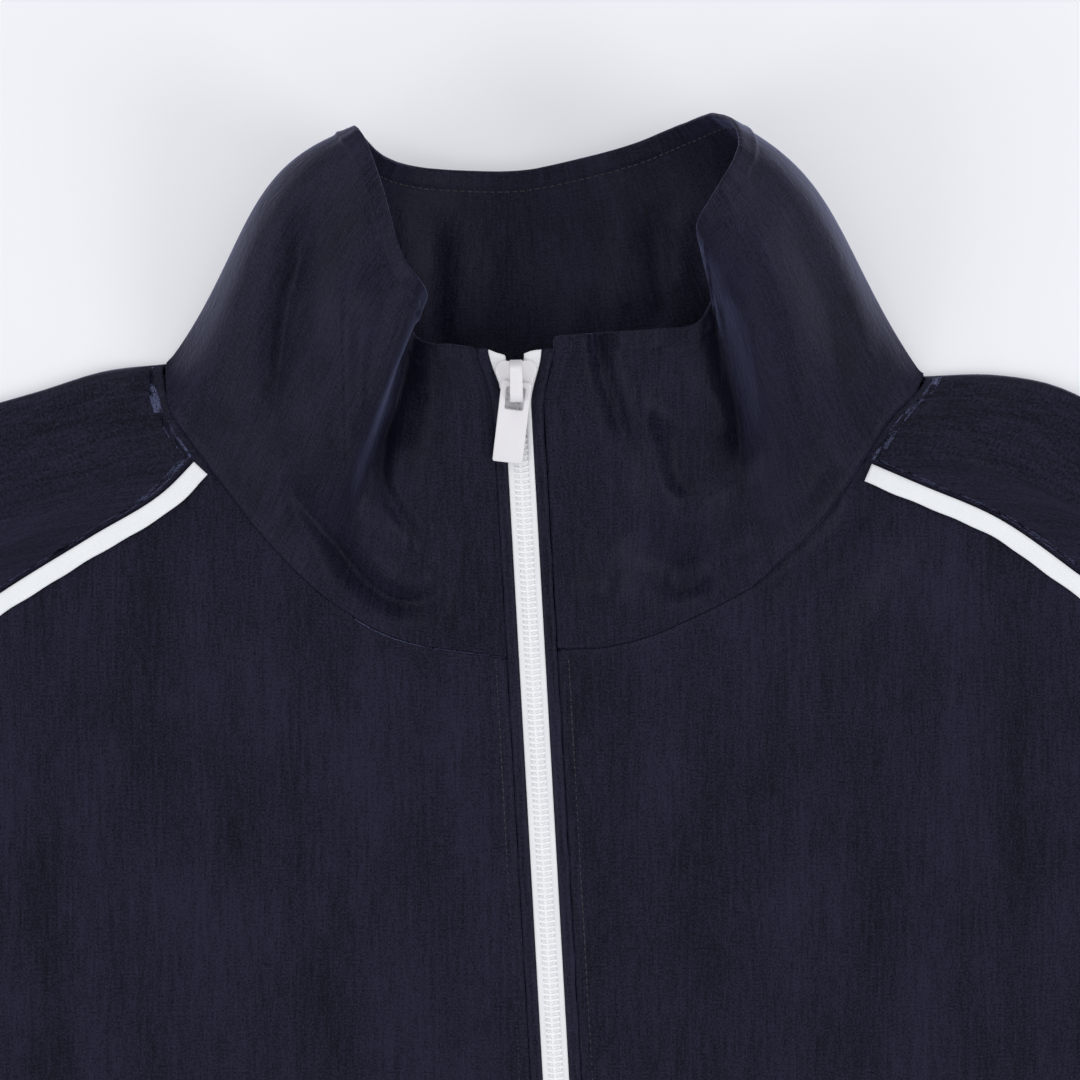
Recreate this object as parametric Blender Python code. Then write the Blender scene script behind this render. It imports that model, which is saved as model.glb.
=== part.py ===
"""A cropped windbreaker, zipped to the top and laid on its back, as thin cloth walls.

The garment lies on z = 0 with its collar towards +Y. Sizes are in millimetres and places are
measured from the middle of the front neck seam. Each mesh is then moved so that the middle of
the garment's footprint is at the origin, and turned into metres. "Left" is the side at -X.
"""

import math

import bmesh
import bpy
import numpy as np
from mathutils import Matrix, Vector

MM = 0.001
CLOTH = 1.2  # wall of every cloth piece
SEAM_GAP = 0.3  # between pieces that are sewn together
HALF_GAP = SEAM_GAP / 2
LAYERS = 2 * CLOTH + SEAM_GAP  # height of two layers that lie on each other

# How high the upper layer lies: two layers at the garment's outline, a little air inside, and
# more at the neck, where the collar lifts it.
AIR = 2.9
AIR_REACH = 35.0
NECK_RISE = 6.4
NECK_REACH = 42.0
NECK_FADE = 24.0

HEM_Y = -428.0
HEM_CENTRE_X = 8.0
HEM_HALF = 268.0
CUFF = 105.0  # width of the flat cuff

# The zip runs down a line that leans a little and straightens below the chest.
ZIP_NECK_X = -2.5
ZIP_LEAN = 0.0566
ZIP_STRAIGHTENS_Y = -106.0
ZIP_STRAIGHTENS_OVER = 120.0
ZIP_KNEE_Y = -230.0  # level with the underarm
CHAIN_HALF = 3.3
CHAIN_THICK = 2.0
LIP_WIDTH = 2.8
LIP_THICK = 1.6
LIP_PROUD = 0.4
CLOTH_EDGE = CHAIN_HALF + LIP_WIDTH + 2 * SEAM_GAP  # from the zip line to the fronts
COLLAR_FRONT = 77.0  # height of the collar beside the zip
COLLAR_TOP_Z = 21.0
FORK_Y = 62.0  # where the two tapes part
FLARE = 3.4  # how far the tape ends spread at the top
TAPE = 4.4  # width of one tape end
CHAIN_PROUD = 0.2  # height of the chain over the cloth
FLARE_REACH = 12.0  # how far the spread at the top reaches into the collar
SEAM_BLEND = 0.12  # share of the collar's height over which its folds begin

PIPING_WIDTH = 4.7
PIPING_THICK = 1.0
SLEEVE_SECTIONS = 16
SLEEVE_CROWDING = 1.25  # how much closer the sleeve's sections stand near the neck
SLEEVE_BEND_FADE = 2.2
FOLD_WALL = 1.4 * CLOTH  # wall across a sleeve's folded edges
COLLAR_ROWS = 12

# The slider and its tab, about a point on the zip line.
SLIDER_Y = 69.6
SLIDER_LENGTH = 8.2
SLIDER_WIDE = 10.6
SLIDER_NARROW = 8.0
SLIDER_ROUNDING = 0.62  # corner radius as a share of half the length
SLIDER_PLATE = 1.3
SLIDER_CLEARANCE = SEAM_GAP + CHAIN_PROUD  # from the cloth to the slider's plate
SLIDER_YAW = math.radians(1.0)
BRIDGE_WIDTH = 3.2
BRIDGE_THICK = 0.9
BRIDGE_RISE = 2.9
BRIDGE_UP = 6.0  # from the tab's bar to the bridge's two ends
BRIDGE_DOWN = 4.4
BRIDGE_SLOPE = 2.4  # length of the slope at the upper end
BRIDGE_ROOT = 0.4  # how far the bridge runs into the plate
BAR_RADIUS = 0.7
BAR_ABOVE = 1.2  # height of the bar's axis over the slider's plate
BAR_Y = 67.9
TAB_YAW = math.radians(-6.6)
TAB_WIDTH = 7.6
TAB_LENGTH = 20.6
TAB_THICK = 1.5
TAB_PITCH = math.radians(4.4)
SLOT_WIDTH = 4.6
SLOT_LENGTH = 5.7
TAB_CORNER = 0.5

# Each station runs from the neck seam to the collar's top edge. "front" is 1 where the seam is
# on the upper layer, 0 on the back. "swell" is how far the middle of the station stands off the
# straight line between its ends.
#    seam x, y, front, edge x, y, z, swell x, y, z
COLLAR = {
    "zip left": (-9.2, -0.5, 1, -13.5, 76.3, 21, 0, 0, 0),
    "left of zip": (-20.5, 1.0, 1, -20.5, 77, 22, 0, 0, 0.5),
    "pucker": (-30.5, 2.5, 1, -26.5, 77.2, 22, 0, 0, 0.5),
    "buckle foot": (-40.5, 5.8, 1, -31, 79, 18, 0, 0, 0),
    "buckle": (-50.5, 11.8, 1, -32.5, 84, 17, 0, 0, 0),
    "left corner": (-60.5, 20, 1, -27.8, 89.8, 33, -1, 0, 4),
    "left flap low": (-70.5, 30.5, 1, -34.8, 99.3, 42, -2, 0, 4),
    "left flap": (-77.8, 39.8, 1, -39.3, 114.5, 47, -2.5, 0.5, 4),
    "left flap high": (-85.5, 50, 1, -43.5, 126.3, 49, -3, 1.5, 3),
    "left side": (-93.6, 62.6, 0.8, -46, 130.6, 48, -5, 4, 1),
    "left fold": (-94.5, 72.6, 0.4, -46.6, 131.3, 45, -6, 5, -5),
    "left under": (-87, 68, 0, -45, 129.4, 37, -4, 3, -9),
    "back left": (-70, 58, 0, -40, 124.4, 23, -1, 0.5, -5.6),
    "back left inner": (-47, 50.5, 0, -32, 121.6, 11.5, 0, 0, -2.8),
    "back left middle": (-23, 47, 0, -19, 120.5, 5.4, 0, 0, -1.2),
    "back middle": (0, 46, 0, -5, 120.6, 3.6, 0, 0, -0.75),
    "back right middle": (23, 47, 0, 9, 123.4, 5.2, 0, 0, -1.2),
    "back right inner": (47, 50.5, 0, 23, 127.2, 11.5, 0, 0, -2.8),
    "back right": (70, 57, 0, 35, 132, 22, 1, 0.5, -5.4),
    "right under": (88, 65.5, 0, 44, 134.4, 36, 4, 3, -9),
    "right fold": (96, 69.6, 0.4, 48.2, 131.8, 46, 5, 4, -5),
    "right side": (93.6, 65.5, 0.8, 49.4, 128.2, 50, 4.5, 3, 1),
    "right flap high": (87, 59, 1, 48.4, 123.8, 52, 3, 1.5, 3),
    "right flap": (80.3, 48.8, 1, 45.2, 118.2, 52, 2.5, 1, 4),
    "right flap low": (75, 40.8, 1, 41.6, 112.4, 50, 2.5, 0, 4),
    "right corner": (69, 32.6, 1, 38.8, 107.5, 45, 2, 0, 4),
    "right turn": (60.5, 24.6, 1, 40.3, 98, 33, 1, 0, 2),
    "right foot": (49.5, 15.3, 1, 42.3, 88.5, 24, 0, 0, 0),
    "right of foot": (38.8, 9.8, 1, 38.5, 82.4, 21, 0, 0, 0),
    "right middle": (27, 4.7, 1, 28, 80.9, 22, 0, 0, 0.5),
    "right of zip": (15, 1.9, 1, 14, 79.9, 22, 0, 0, 0.5),
    "zip right": (4.2, 1.6, 1, -0.1, 79, 21, 0, 0, 0),
}

# The corners where pieces meet the collar, and the columns from each to the next.
COLLAR_STRETCHES = (
    ("zip left", 15),
    ("left flap high", 5),
    ("left fold", 6),
    ("back left", 12),
    ("back right", 6),
    ("right fold", 5),
    ("right flap", 17),
)
RAGLAN_SHARES = np.linspace(0, 1, 16) ** 1.3  # points along every raglan seam

# The collar's largest folds, as height over or under the surface, width, whether the first end
# runs off the top edge, and the line that the fold follows.
COLLAR_FOLDS = {
    "left hollow": (-3.6, 7.5, False, ((-60, 114), (-61.5, 92), (-65.5, 76), (-67.5, 60))),
    "left ridge": (3.4, 6.5, False, ((-54, 109), (-50.5, 89), (-49.3, 59), (-48, 41), (-42, 22))),
    "left buckle": (
        -6.5, 5.4, True,
        ((-30, 87), (-33.5, 72.5), (-38.5, 55), (-40.3, 45), (-37, 36.5), (-33, 27)),
    ),
    "left pocket": (
        -2.4, 4.5, False,
        ((-63, 46), (-54, 32.5), (-45.5, 19), (-38, 12.5), (-29.5, 12), (-25, 23)),
    ),
    "right valley": (-6.5, 5.4, True, ((44, 92), (47.5, 76), (50, 57), (48.3, 43))),
    "right ridge": (3.0, 8.0, False, ((54, 121), (56, 101), (64.5, 76), (66, 62), (60.5, 43))),
    "right bowl": (
        2.8, 4.4, False,
        ((22.5, 66), (27.5, 51), (29, 39), (35, 34.3), (43, 39), (49.5, 45)),
    ),
    "right slope": (-2.0, 4.0, True, ((14.5, 79), (17, 66), (21, 53))),
    "right pocket": (-3.0, 6.5, False, ((29, 19), (35, 18), (43, 19))),
}

# Plan outlines that run on from the collar to the underarms and cuffs.
SIDES = {
    "left": {
        "sign": -1,
        "seam": ("left flap high", "left fold", "back left"),
        "raglan": ((-94, 41.3), (-112.8, 29.6), (-135.5, 15.5), (-190, -30), (-240, -100)),
        "back raglan": ((-110, 30), (-160, -20), (-220, -95)),
        "underarm": (-280, -190),
        "overarm": ((-109, 71), (-125.5, 66), (-150, 59), (-200, 43), (-260, 17), (-310, -20),
                    (-362, -72), (-600, -345)),
        "side": ((-266, -250), (-258, -330)),
    },
    "right": {
        "sign": 1,
        "seam": ("right flap", "right fold", "back right"),
        "raglan": ((94.3, 42.8), (113, 34.8), (134.5, 20), (192, -28), (246, -98)),
        "back raglan": ((112, 30), (164, -20), (226, -95)),
        "underarm": (290, -188),
        "overarm": ((113, 70), (124.5, 68.4), (150, 57), (204, 40), (264, 15), (314, -20),
                    (366, -70), (604, -340)),
        "side": ((280, -250), (273, -330)),
    },
}

NAVY = (0.018, 0.017, 0.035, 1)
WHITE_TAPE = (0.86, 0.87, 0.88, 1)
WHITE_METAL = (0.80, 0.78, 0.80, 1)


def smooth_curve(knots, values, at):
    """Cubic Hermite curve through the values, with each tangent taken from its neighbours."""
    knots = np.asarray(knots, float)
    values = np.asarray(values, float)
    tangents = np.gradient(values, knots, axis=0)
    at = np.clip(at, knots[0], knots[-1])
    i = np.clip(np.searchsorted(knots, at, side="right") - 1, 0, len(knots) - 2)
    span = (knots[i + 1] - knots[i])[:, None]
    s = (at - knots[i])[:, None] / span
    return (
        (2 * s**3 - 3 * s**2 + 1) * values[i]
        + (s**3 - 2 * s**2 + s) * span * tangents[i]
        + (3 * s**2 - 2 * s**3) * values[i + 1]
        + (s**3 - s**2) * span * tangents[i + 1]
    )


def chord_knots(points):
    """Length along the straight lines between the points."""
    steps = np.linalg.norm(np.diff(points, axis=0), axis=1)
    return np.concatenate([[0], np.cumsum(steps)])


def through(points, shares):
    """Points at the given shares of a smooth curve through a few points."""
    points = np.asarray(points, float)
    knots = chord_knots(points)
    return smooth_curve(knots, points, np.asarray(shares) * knots[-1])


def smoothstep(x):
    x = np.clip(x, 0, 1)
    return x * x * (3 - 2 * x)


def near_line(points, line):
    """Distance from each point to a line of straight pieces, and the share along it."""
    line = np.asarray(line, float)
    start = line[:-1]
    step = np.diff(line, axis=0)
    length = np.linalg.norm(step, axis=1)
    offset = points[..., None, :] - start
    share = np.clip((offset * step).sum(-1) / length**2, 0, 1)
    distance = np.linalg.norm(offset - share[..., None] * step, axis=-1)
    best = distance.argmin(-1)[..., None]
    along = (np.concatenate([[0], np.cumsum(length)[:-1]]) + share * length) / length.sum()
    return np.take_along_axis(distance, best, -1)[..., 0], np.take_along_axis(along, best, -1)[..., 0]


def fold_heights(points, folds):
    """Sum of soft ridges and troughs, each a bell across its line that fades at its ends."""
    total = np.zeros(points.shape[:-1])
    for height, width, off_edge, line in folds.values():
        distance, along = near_line(points, through(line, np.linspace(0, 1, 24)))
        fade = smoothstep((1 - along) / 0.3)
        if not off_edge:
            fade = fade * smoothstep(along / 0.3)
        total += height * fade * np.exp(-((distance / width) ** 2))
    return total


def collar_knots():
    """Length round the collar, as the mean of the seam's and the top edge's."""
    rows = np.array(list(COLLAR.values()))
    return (chord_knots(rows[:, 0:2]) + chord_knots(rows[:, 3:6])) / 2


def collar_columns(first="zip left", last="zip right"):
    """Places round the collar where its columns stand, between two corner stations. Every piece
    that is sewn to the collar has its own points at the same places."""
    knots = dict(zip(COLLAR, collar_knots()))
    corners = [name for name, _ in COLLAR_STRETCHES] + ["zip right"]
    places = []
    for (name, count), end in zip(COLLAR_STRETCHES, corners[1:]):
        if corners.index(first) <= corners.index(name) < corners.index(last):
            places.append(np.linspace(knots[name], knots[end], count + 1)[:-1])
    return np.concatenate([*places, [knots[last]]])


def neck_seam(first, last):
    """Plan points of the neck seam between two corner stations."""
    rows = np.array(list(COLLAR.values()))
    return smooth_curve(collar_knots(), rows[:, 0:2], collar_columns(first, last))


def aside(line, distance):
    """A plan line moved sideways, to the left of its own direction where distance is positive."""
    way = np.gradient(line, axis=0)
    way /= np.linalg.norm(way, axis=1)[:, None]
    return line + distance * np.stack([-way[:, 1], way[:, 0]], axis=1)


def raglan(side, kind, shares):
    """Plan points of a raglan seam, from the neck to the underarm."""
    shape = SIDES[side]
    station = shape["seam"][0 if kind == "raglan" else 2]
    start = COLLAR[station][0:2]
    return through((start, *shape[kind], shape["underarm"]), shares)


def cuff_corner(side):
    """The underarm's end of the cuff, square to the last stretch of the over-arm fold."""
    shape = SIDES[side]
    outer = np.array(shape["overarm"][-1], float)
    way = outer - shape["overarm"][-2]
    way /= np.linalg.norm(way)
    return outer - shape["sign"] * CUFF * np.array([-way[1], way[0]])


def overarm(side, shares):
    shape = SIDES[side]
    return through((COLLAR[shape["seam"][1]][0:2], *shape["overarm"]), shares)


def side_seam(side, shares):
    shape = SIDES[side]
    corner = (HEM_CENTRE_X + shape["sign"] * HEM_HALF, HEM_Y)
    return through((shape["underarm"], *shape["side"], corner), shares)


def upper_height(points):
    """Height of the upper layer's outer face over plan points."""
    even = np.linspace(0, 1, 40)
    outline = np.full(points.shape[:-1], np.inf)
    for side in SIDES:
        underarm = np.array([SIDES[side]["underarm"], cuff_corner(side)])
        for line in (overarm(side, even), underarm, side_seam(side, even)):
            outline = np.minimum(outline, near_line(points, line)[0])
    neck = near_line(points, neck_seam("zip left", "left fold"))[0]
    neck = np.minimum(neck, near_line(points, neck_seam("right fold", "zip right"))[0])
    air = AIR * (1 - np.exp(-outline / AIR_REACH))
    rise = NECK_RISE * np.exp(-((neck / NECK_REACH) ** 2)) * (1 - np.exp(-outline / NECK_FADE))
    return LAYERS + air + rise


def zip_x(y):
    """The zip line: a straight lean that dies away below the chest."""
    below = np.minimum(y - ZIP_STRAIGHTENS_Y, 0)
    settled = ZIP_STRAIGHTENS_OVER * (1 - np.exp(below / ZIP_STRAIGHTENS_OVER))
    return ZIP_NECK_X - ZIP_LEAN * np.maximum(y, ZIP_STRAIGHTENS_Y) + ZIP_LEAN * settled


def zip_height(y):
    """Height of the cloth along the zip: the upper layer below the neck, then the collar's slope."""
    y = np.asarray(y, float)
    line = np.stack([zip_x(y), np.minimum(y, 0)], axis=-1)
    slope = (COLLAR_TOP_Z + CLOTH / 2 - neck_height()) / COLLAR_FRONT
    return upper_height(line) + slope * np.maximum(y, 0)


def neck_height():
    return float(upper_height(np.array([[ZIP_NECK_X, 0.0]]))[0])


def flare(y):
    """How far the tape ends, and what lies beside them, stand out above the fork."""
    return FLARE * smoothstep((y - FORK_Y) / (COLLAR_FRONT - FORK_Y))


def collar_surface(places, rows):
    """Middle of the collar's cloth and its normals. The surface is smooth through the stations,
    stands just inside the seam, and has the folds laid on its front."""
    station = smooth_curve(collar_knots(), np.array(list(COLLAR.values())), places)
    v = np.linspace(0, 1, rows)[:, None]
    front = np.clip(station[:, 2], 0, 1)
    seam_z = front * (upper_height(station[:, 0:2]) - CLOTH) + CLOTH / 2
    facing = 2 * front - 1
    turned = (1 - np.abs(facing)) * np.sign(station[:, 0])
    moved = aside(station[:, 0:2], -HALF_GAP) - station[:, 0:2]
    seam_xy = station[:, 0:2] + moved * facing[:, None]
    seam_xy[:, 0] -= turned * (HALF_GAP + CLOTH / 2)
    seam = np.column_stack([seam_xy, seam_z])
    grid = (1 - v[..., None]) * seam + v[..., None] * station[:, 3:6]
    grid[..., 0:2] += np.sin(np.pi * v**1.8)[..., None] * station[:, 6:8]
    grid[..., 2] += 4 * v * (1 - v) * station[:, 8]
    grid[..., 2] += front * smoothstep(v / SEAM_BLEND) * fold_heights(grid[..., 0:2], COLLAR_FOLDS)
    beside = grid[..., 0] - zip_x(grid[..., 1])
    spread = np.exp(-(((np.abs(beside) - CLOTH_EDGE) / FLARE_REACH) ** 2)) * front
    grid[..., 0] += np.sign(beside) * flare(grid[..., 1]) * spread
    normal = np.cross(np.gradient(grid, axis=1), np.gradient(grid, axis=0))
    normal[0] = np.column_stack([turned, 0 * turned, facing])
    return grid, normal / np.linalg.norm(normal, axis=-1)[..., None]


def grid_cells(rows, columns, wrap=False):
    """Four-cornered cells of a grid of points, closed round the columns if wrap is set."""
    index = np.arange(rows * columns).reshape(rows, columns)
    right = np.roll(index, -1, axis=1)
    last = columns if wrap else columns - 1
    cells = np.stack([index[:-1], index[1:], right[1:], right[:-1]], axis=-1)
    return cells[:, :last].reshape(-1, 4)


def add_mesh(name, points, faces, material):
    mesh = bpy.data.meshes.new(name)
    mesh.from_pydata((points * MM).tolist(), [], [list(face) for face in faces])
    mesh.materials.append(material)
    mesh.shade_smooth()
    mesh.set_sharp_from_angle(angle=math.radians(40))
    obj = bpy.data.objects.new(name, mesh)
    bpy.context.scene.collection.objects.link(obj)
    return obj


def add_wall(name, outer, inner, cells, material):
    """A closed wall: the outer points' cells, the inner points' cells turned round, and a rim
    along each edge that only one cell has."""
    outer = outer.reshape(-1, 3)
    inner = inner.reshape(-1, 3)
    count = len(outer)
    cells = [tuple(int(corner) for corner in cell) for cell in cells]
    edges = {(cell[k], cell[(k + 1) % 4]) for cell in cells for k in range(4)}
    faces = list(cells)
    faces += [tuple(corner + count for corner in reversed(cell)) for cell in cells]
    faces += [(b, a, a + count, b + count) for a, b in sorted(edges) if (b, a) not in edges]
    obj = add_mesh(name, np.concatenate([outer, inner]), faces, material)
    return facing_out(obj)


def facing_out(obj):
    form = bmesh.new()
    form.from_mesh(obj.data)
    if form.calc_volume(signed=True) < 0:
        bmesh.ops.reverse_faces(form, faces=form.faces)
    form.to_mesh(obj.data)
    form.free()
    return obj


def add_layer(name, plan, top, thickness, material):
    """A wall over a grid of plan points, from its top face down by its thickness."""
    outer = np.concatenate([plan, top[..., None]], axis=-1)
    inner = outer - (0, 0, thickness)
    return add_wall(name, outer, inner, grid_cells(*plan.shape[:2]), material)


def patch(top, bottom, inner, outer):
    """Plan grid spanned between four edges, by blending opposite edges."""
    r = np.linspace(0, 1, len(inner))[:, None, None]
    c = np.linspace(0, 1, len(top))[None, :, None]
    rows = (1 - r) * top[None] + r * bottom[None]
    columns = (1 - c) * inner[:, None] + c * outer[:, None]
    upper_corners = (1 - c) * top[0] + c * top[-1]
    lower_corners = (1 - c) * bottom[0] + c * bottom[-1]
    return rows + columns - (1 - r) * upper_corners - r * lower_corners


def front_plan(side):
    """Plan grid of a front, from the zip to the raglan seam and the side seam."""
    shape = SIDES[side]
    sign = shape["sign"]
    if side == "left":
        top = neck_seam("zip left", shape["seam"][0])
    else:
        top = neck_seam(shape["seam"][0], "zip right")[::-1]
    top = aside(top, -sign * HALF_GAP)
    upper = aside(raglan(side, "raglan", RAGLAN_SHARES), -sign * HALF_GAP)
    down = np.linspace(0, 1, 7)[1:]
    outer = np.concatenate([upper, side_seam(side, down)])
    inward = (top[-2] + upper[1]) / 2 - raglan(side, "raglan", [0])[0]
    outer[0] = raglan(side, "raglan", [0])[0] + HALF_GAP * inward / np.linalg.norm(inward)
    top[-1] = outer[0]
    level = np.concatenate([ZIP_KNEE_Y * RAGLAN_SHARES, ZIP_KNEE_Y + (HEM_Y - ZIP_KNEE_Y) * down])
    level[0] = top[0, 1]
    inner = np.column_stack([zip_x(level) + sign * CLOTH_EDGE, level])
    top[0] = inner[0]
    bottom = np.linspace(inner[-1], outer[-1], len(top))
    return patch(top, bottom, inner, outer)


def make_front(side, material):
    plan = front_plan(side)
    return add_layer(f"front_{side}", plan, upper_height(plan), CLOTH, material)


def make_back(material):
    """The back panel: between the two back raglan seams and side seams, flat on the floor."""
    edges = {}
    for side, shape in SIDES.items():
        upper = aside(raglan(side, "back raglan", RAGLAN_SHARES), -shape["sign"] * HALF_GAP)
        lower = side_seam(side, np.linspace(0, 1, 7))[1:]
        edges[side] = np.concatenate([upper, lower])
    top = aside(neck_seam("back left", "back right"), -HALF_GAP)
    for side, end in (("left", 0), ("right", -1)):
        edges[side][0] = top[end]
    bottom = np.linspace(edges["left"][-1], edges["right"][-1], len(top))
    plan = patch(top, bottom, edges["left"], edges["right"])
    return add_layer("back", plan, np.full(plan.shape[:2], CLOTH), CLOTH, material)


def sleeve_top(side, layer):
    """Plan points of a sleeve's end, from the over-arm fold along the neck and down the raglan."""
    shape = SIDES[side]
    front, fold, back = shape["seam"]
    station = front if layer == "raglan" else back
    names = list(COLLAR)
    forward = names.index(fold) < names.index(station)
    neck = neck_seam(fold, station) if forward else neck_seam(station, fold)[::-1]
    line = np.concatenate([neck, raglan(side, layer, RAGLAN_SHARES)[1:]])
    moved = aside(line, shape["sign"] * HALF_GAP)
    corner = len(neck) - 1
    inward = (line[corner - 1] + line[corner + 1]) / 2 - line[corner]
    moved[corner] = line[corner] + SEAM_GAP * inward / np.linalg.norm(inward)
    moved[0] = line[0] + (shape["sign"] * HALF_GAP, 0)
    moved[-1] = line[-1] + (shape["sign"] * 2 * HALF_GAP, 0)
    return moved


def sleeve_plan(side, layer, sections):
    """Plan grid of one layer of a sleeve: its end's curve, straightening towards the cuff."""
    end = sleeve_top(side, layer)
    across = (chord_knots(end) / chord_knots(end)[-1])[None, :, None]
    s = np.linspace(0, 1, sections) ** SLEEVE_CROWDING
    upper = overarm(side, s)
    upper[0] = end[0]
    lower = end[-1] + s[:, None] * (cuff_corner(side) - end[-1])
    straight = (1 - across) * upper[:, None] + across * lower[:, None]
    bow = end[None] - ((1 - across) * end[0] + across * end[-1])
    return straight + ((1 - s) ** SLEEVE_BEND_FADE)[:, None, None] * bow


def narrowed(plan, inset):
    """A layer's plan with its two folded edges drawn in."""
    grid = plan.copy()
    width = np.linalg.norm(plan[:, -1] - plan[:, 0], axis=1)[:, None]
    way = (plan[:, -1] - plan[:, 0]) / width
    grid[:, 0] += inset * way
    grid[:, -1] -= inset * way
    return grid


def sleeve_loop(side, sections, inset, lift):
    """Points round a flattened sleeve: upper layer, underarm fold, lower layer, over-arm fold."""
    upper = narrowed(sleeve_plan(side, "raglan", sections), inset)
    lower = narrowed(sleeve_plan(side, "back raglan", sections), inset)
    top = upper_height(upper) - lift
    base = np.full(lower.shape[:2], float(lift))
    for fold in (0, -1):
        top[:, fold] = LAYERS / 2
    upper = np.concatenate([upper, top[..., None]], axis=-1)
    lower = np.concatenate([lower, base[..., None]], axis=-1)
    return np.concatenate([upper, lower[:, -2:0:-1]], axis=1)


def make_sleeve(side, material):
    outer = sleeve_loop(side, SLEEVE_SECTIONS, 0, 0)
    inner = sleeve_loop(side, SLEEVE_SECTIONS, FOLD_WALL, CLOTH)
    cells = grid_cells(*outer.shape[:2], wrap=True)
    return add_wall(f"sleeve_{side}", outer, inner, cells, material)


def make_collar(material):
    grid, normal = collar_surface(collar_columns(), COLLAR_ROWS)
    outer = grid + normal * CLOTH / 2
    inner = grid - normal * CLOTH / 2
    outer[..., 2] = np.maximum(outer[..., 2], 0)
    inner[..., 2] = np.maximum(inner[..., 2], CLOTH)
    return add_wall("collar", outer, inner, grid_cells(*grid.shape[:2]), material)


def make_piping(side, material):
    """Flat piping from the front raglan seam, lying on the front."""
    shape = SIDES[side]
    line = raglan(side, "raglan", np.linspace(0.012, 0.99, 34) ** 1.1)
    across = np.array([SEAM_GAP, PIPING_WIDTH / 2, PIPING_WIDTH])
    plan = np.stack([aside(line, -shape["sign"] * offset) for offset in across], axis=1)
    top = upper_height(plan) + SEAM_GAP + PIPING_THICK
    return add_layer(f"piping_{side}", plan, top, PIPING_THICK, material)


def zip_rows(top):
    """Levels along the zip: close together on the collar, wider down the front."""
    on_collar = np.linspace(top, 0, 12)
    below = np.linspace(0, HEM_Y, 18)
    return np.concatenate([on_collar, below[1:]])


def make_lip(side, material):
    """The folded lip of cloth beside the zip, slightly crowned."""
    sign = SIDES[side]["sign"]
    y = zip_rows(COLLAR_FRONT - 1)
    across = CHAIN_HALF + SEAM_GAP + LIP_WIDTH * np.array([0, 0.5, 1])
    crown = LIP_PROUD * np.array([0.5, 1, 0.5])
    plan = np.zeros((len(y), 3, 2))
    plan[..., 0] = (zip_x(y) + sign * flare(y))[:, None] + sign * across
    plan[..., 1] = y[:, None]
    return add_layer(f"lip_{side}", plan, zip_height(y)[:, None] + crown, LIP_THICK, material)


def make_chain(material):
    """The zip: one strip up to the fork, then two tape ends that spread."""
    y = zip_rows(FORK_Y)
    strip = np.stack([np.column_stack([zip_x(y) + x, y]) for x in (-CHAIN_HALF, 0, CHAIN_HALF)], 1)
    ends_y = np.linspace(FORK_Y, COLLAR_FRONT - 0.5, 6)[1:]
    tapes = []
    for sign in (-1, 1):
        outer = zip_x(ends_y) + sign * (CHAIN_HALF + flare(ends_y))
        width = CHAIN_HALF + (TAPE - CHAIN_HALF) * (ends_y - FORK_Y) / (COLLAR_FRONT - FORK_Y)
        inner = outer - sign * np.minimum(width, CHAIN_HALF + flare(ends_y) - HALF_GAP)
        tapes.append(np.stack([np.column_stack([x, ends_y]) for x in (outer, inner)], axis=1))
    plan = np.concatenate([strip.reshape(-1, 2)] + [tape.reshape(-1, 2) for tape in tapes])
    cells = grid_cells(len(y), 3).tolist()
    for side in (0, 1):
        first = len(y) * 3 + side * len(ends_y) * 2
        outer = [2 * side] + list(range(first, first + 2 * len(ends_y), 2))
        inner = [1] + list(range(first + 1, first + 2 * len(ends_y), 2))
        for k in range(len(ends_y)):
            cell = (outer[k], inner[k], inner[k + 1], outer[k + 1])
            cells.append(cell if side == 0 else cell[::-1])
    top = zip_height(plan[:, 1]) + CHAIN_PROUD
    outer = np.column_stack([plan, top])
    return add_wall("zip_chain", outer, outer - (0, 0, CHAIN_THICK), cells, material)


def zip_frame(y, yaw):
    """Place on the zip line: its axes run across, up the slope and out of the cloth."""
    rise = (zip_height([y + 1])[0] - zip_height([y - 1])[0]) / 2
    place = Vector((float(zip_x(y)), y, float(zip_height([y])[0])))
    tilt = Matrix.Rotation(math.atan(rise), 4, "X")
    return Matrix.Translation(place) @ tilt @ Matrix.Rotation(yaw, 4, "Z")


def add_prism(name, outline, low, high, material):
    """An upright prism over a plan outline that runs anticlockwise."""
    count = len(outline)
    points = np.array([(*p, low) for p in outline] + [(*p, high) for p in outline], float)
    faces = [tuple(reversed(range(count))), tuple(range(count, 2 * count))]
    faces += [(k, (k + 1) % count, (k + 1) % count + count, k + count) for k in range(count)]
    return facing_out(add_mesh(name, points, faces, material))


def add_side_prism(name, outline, half_width, material):
    """A prism across X over an outline in the plane of Y and Z."""
    count = len(outline)
    points = np.array([(x, *p) for x in (-half_width, half_width) for p in outline], float)
    faces = [tuple(reversed(range(count))), tuple(range(count, 2 * count))]
    faces += [(k, (k + 1) % count, (k + 1) % count + count, k + count) for k in range(count)]
    return facing_out(add_mesh(name, points, faces, material))


def combine(target, tool, operation):
    """An exact Boolean, applied, with the tool removed afterwards."""
    modifier = target.modifiers.new(operation.lower(), "BOOLEAN")
    modifier.operation = operation
    modifier.object = tool
    modifier.solver = "EXACT"
    graph = bpy.context.evaluated_depsgraph_get()
    mesh = bpy.data.meshes.new_from_object(target.evaluated_get(graph))
    target.modifiers.clear()
    target.data = mesh
    bpy.data.objects.remove(tool)


def place(obj, matrix):
    """Turns and moves an object's mesh, given in millimetres."""
    scale = Matrix.Diagonal((MM, MM, MM, 1))
    obj.data.transform(scale @ matrix @ scale.inverted())


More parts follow.
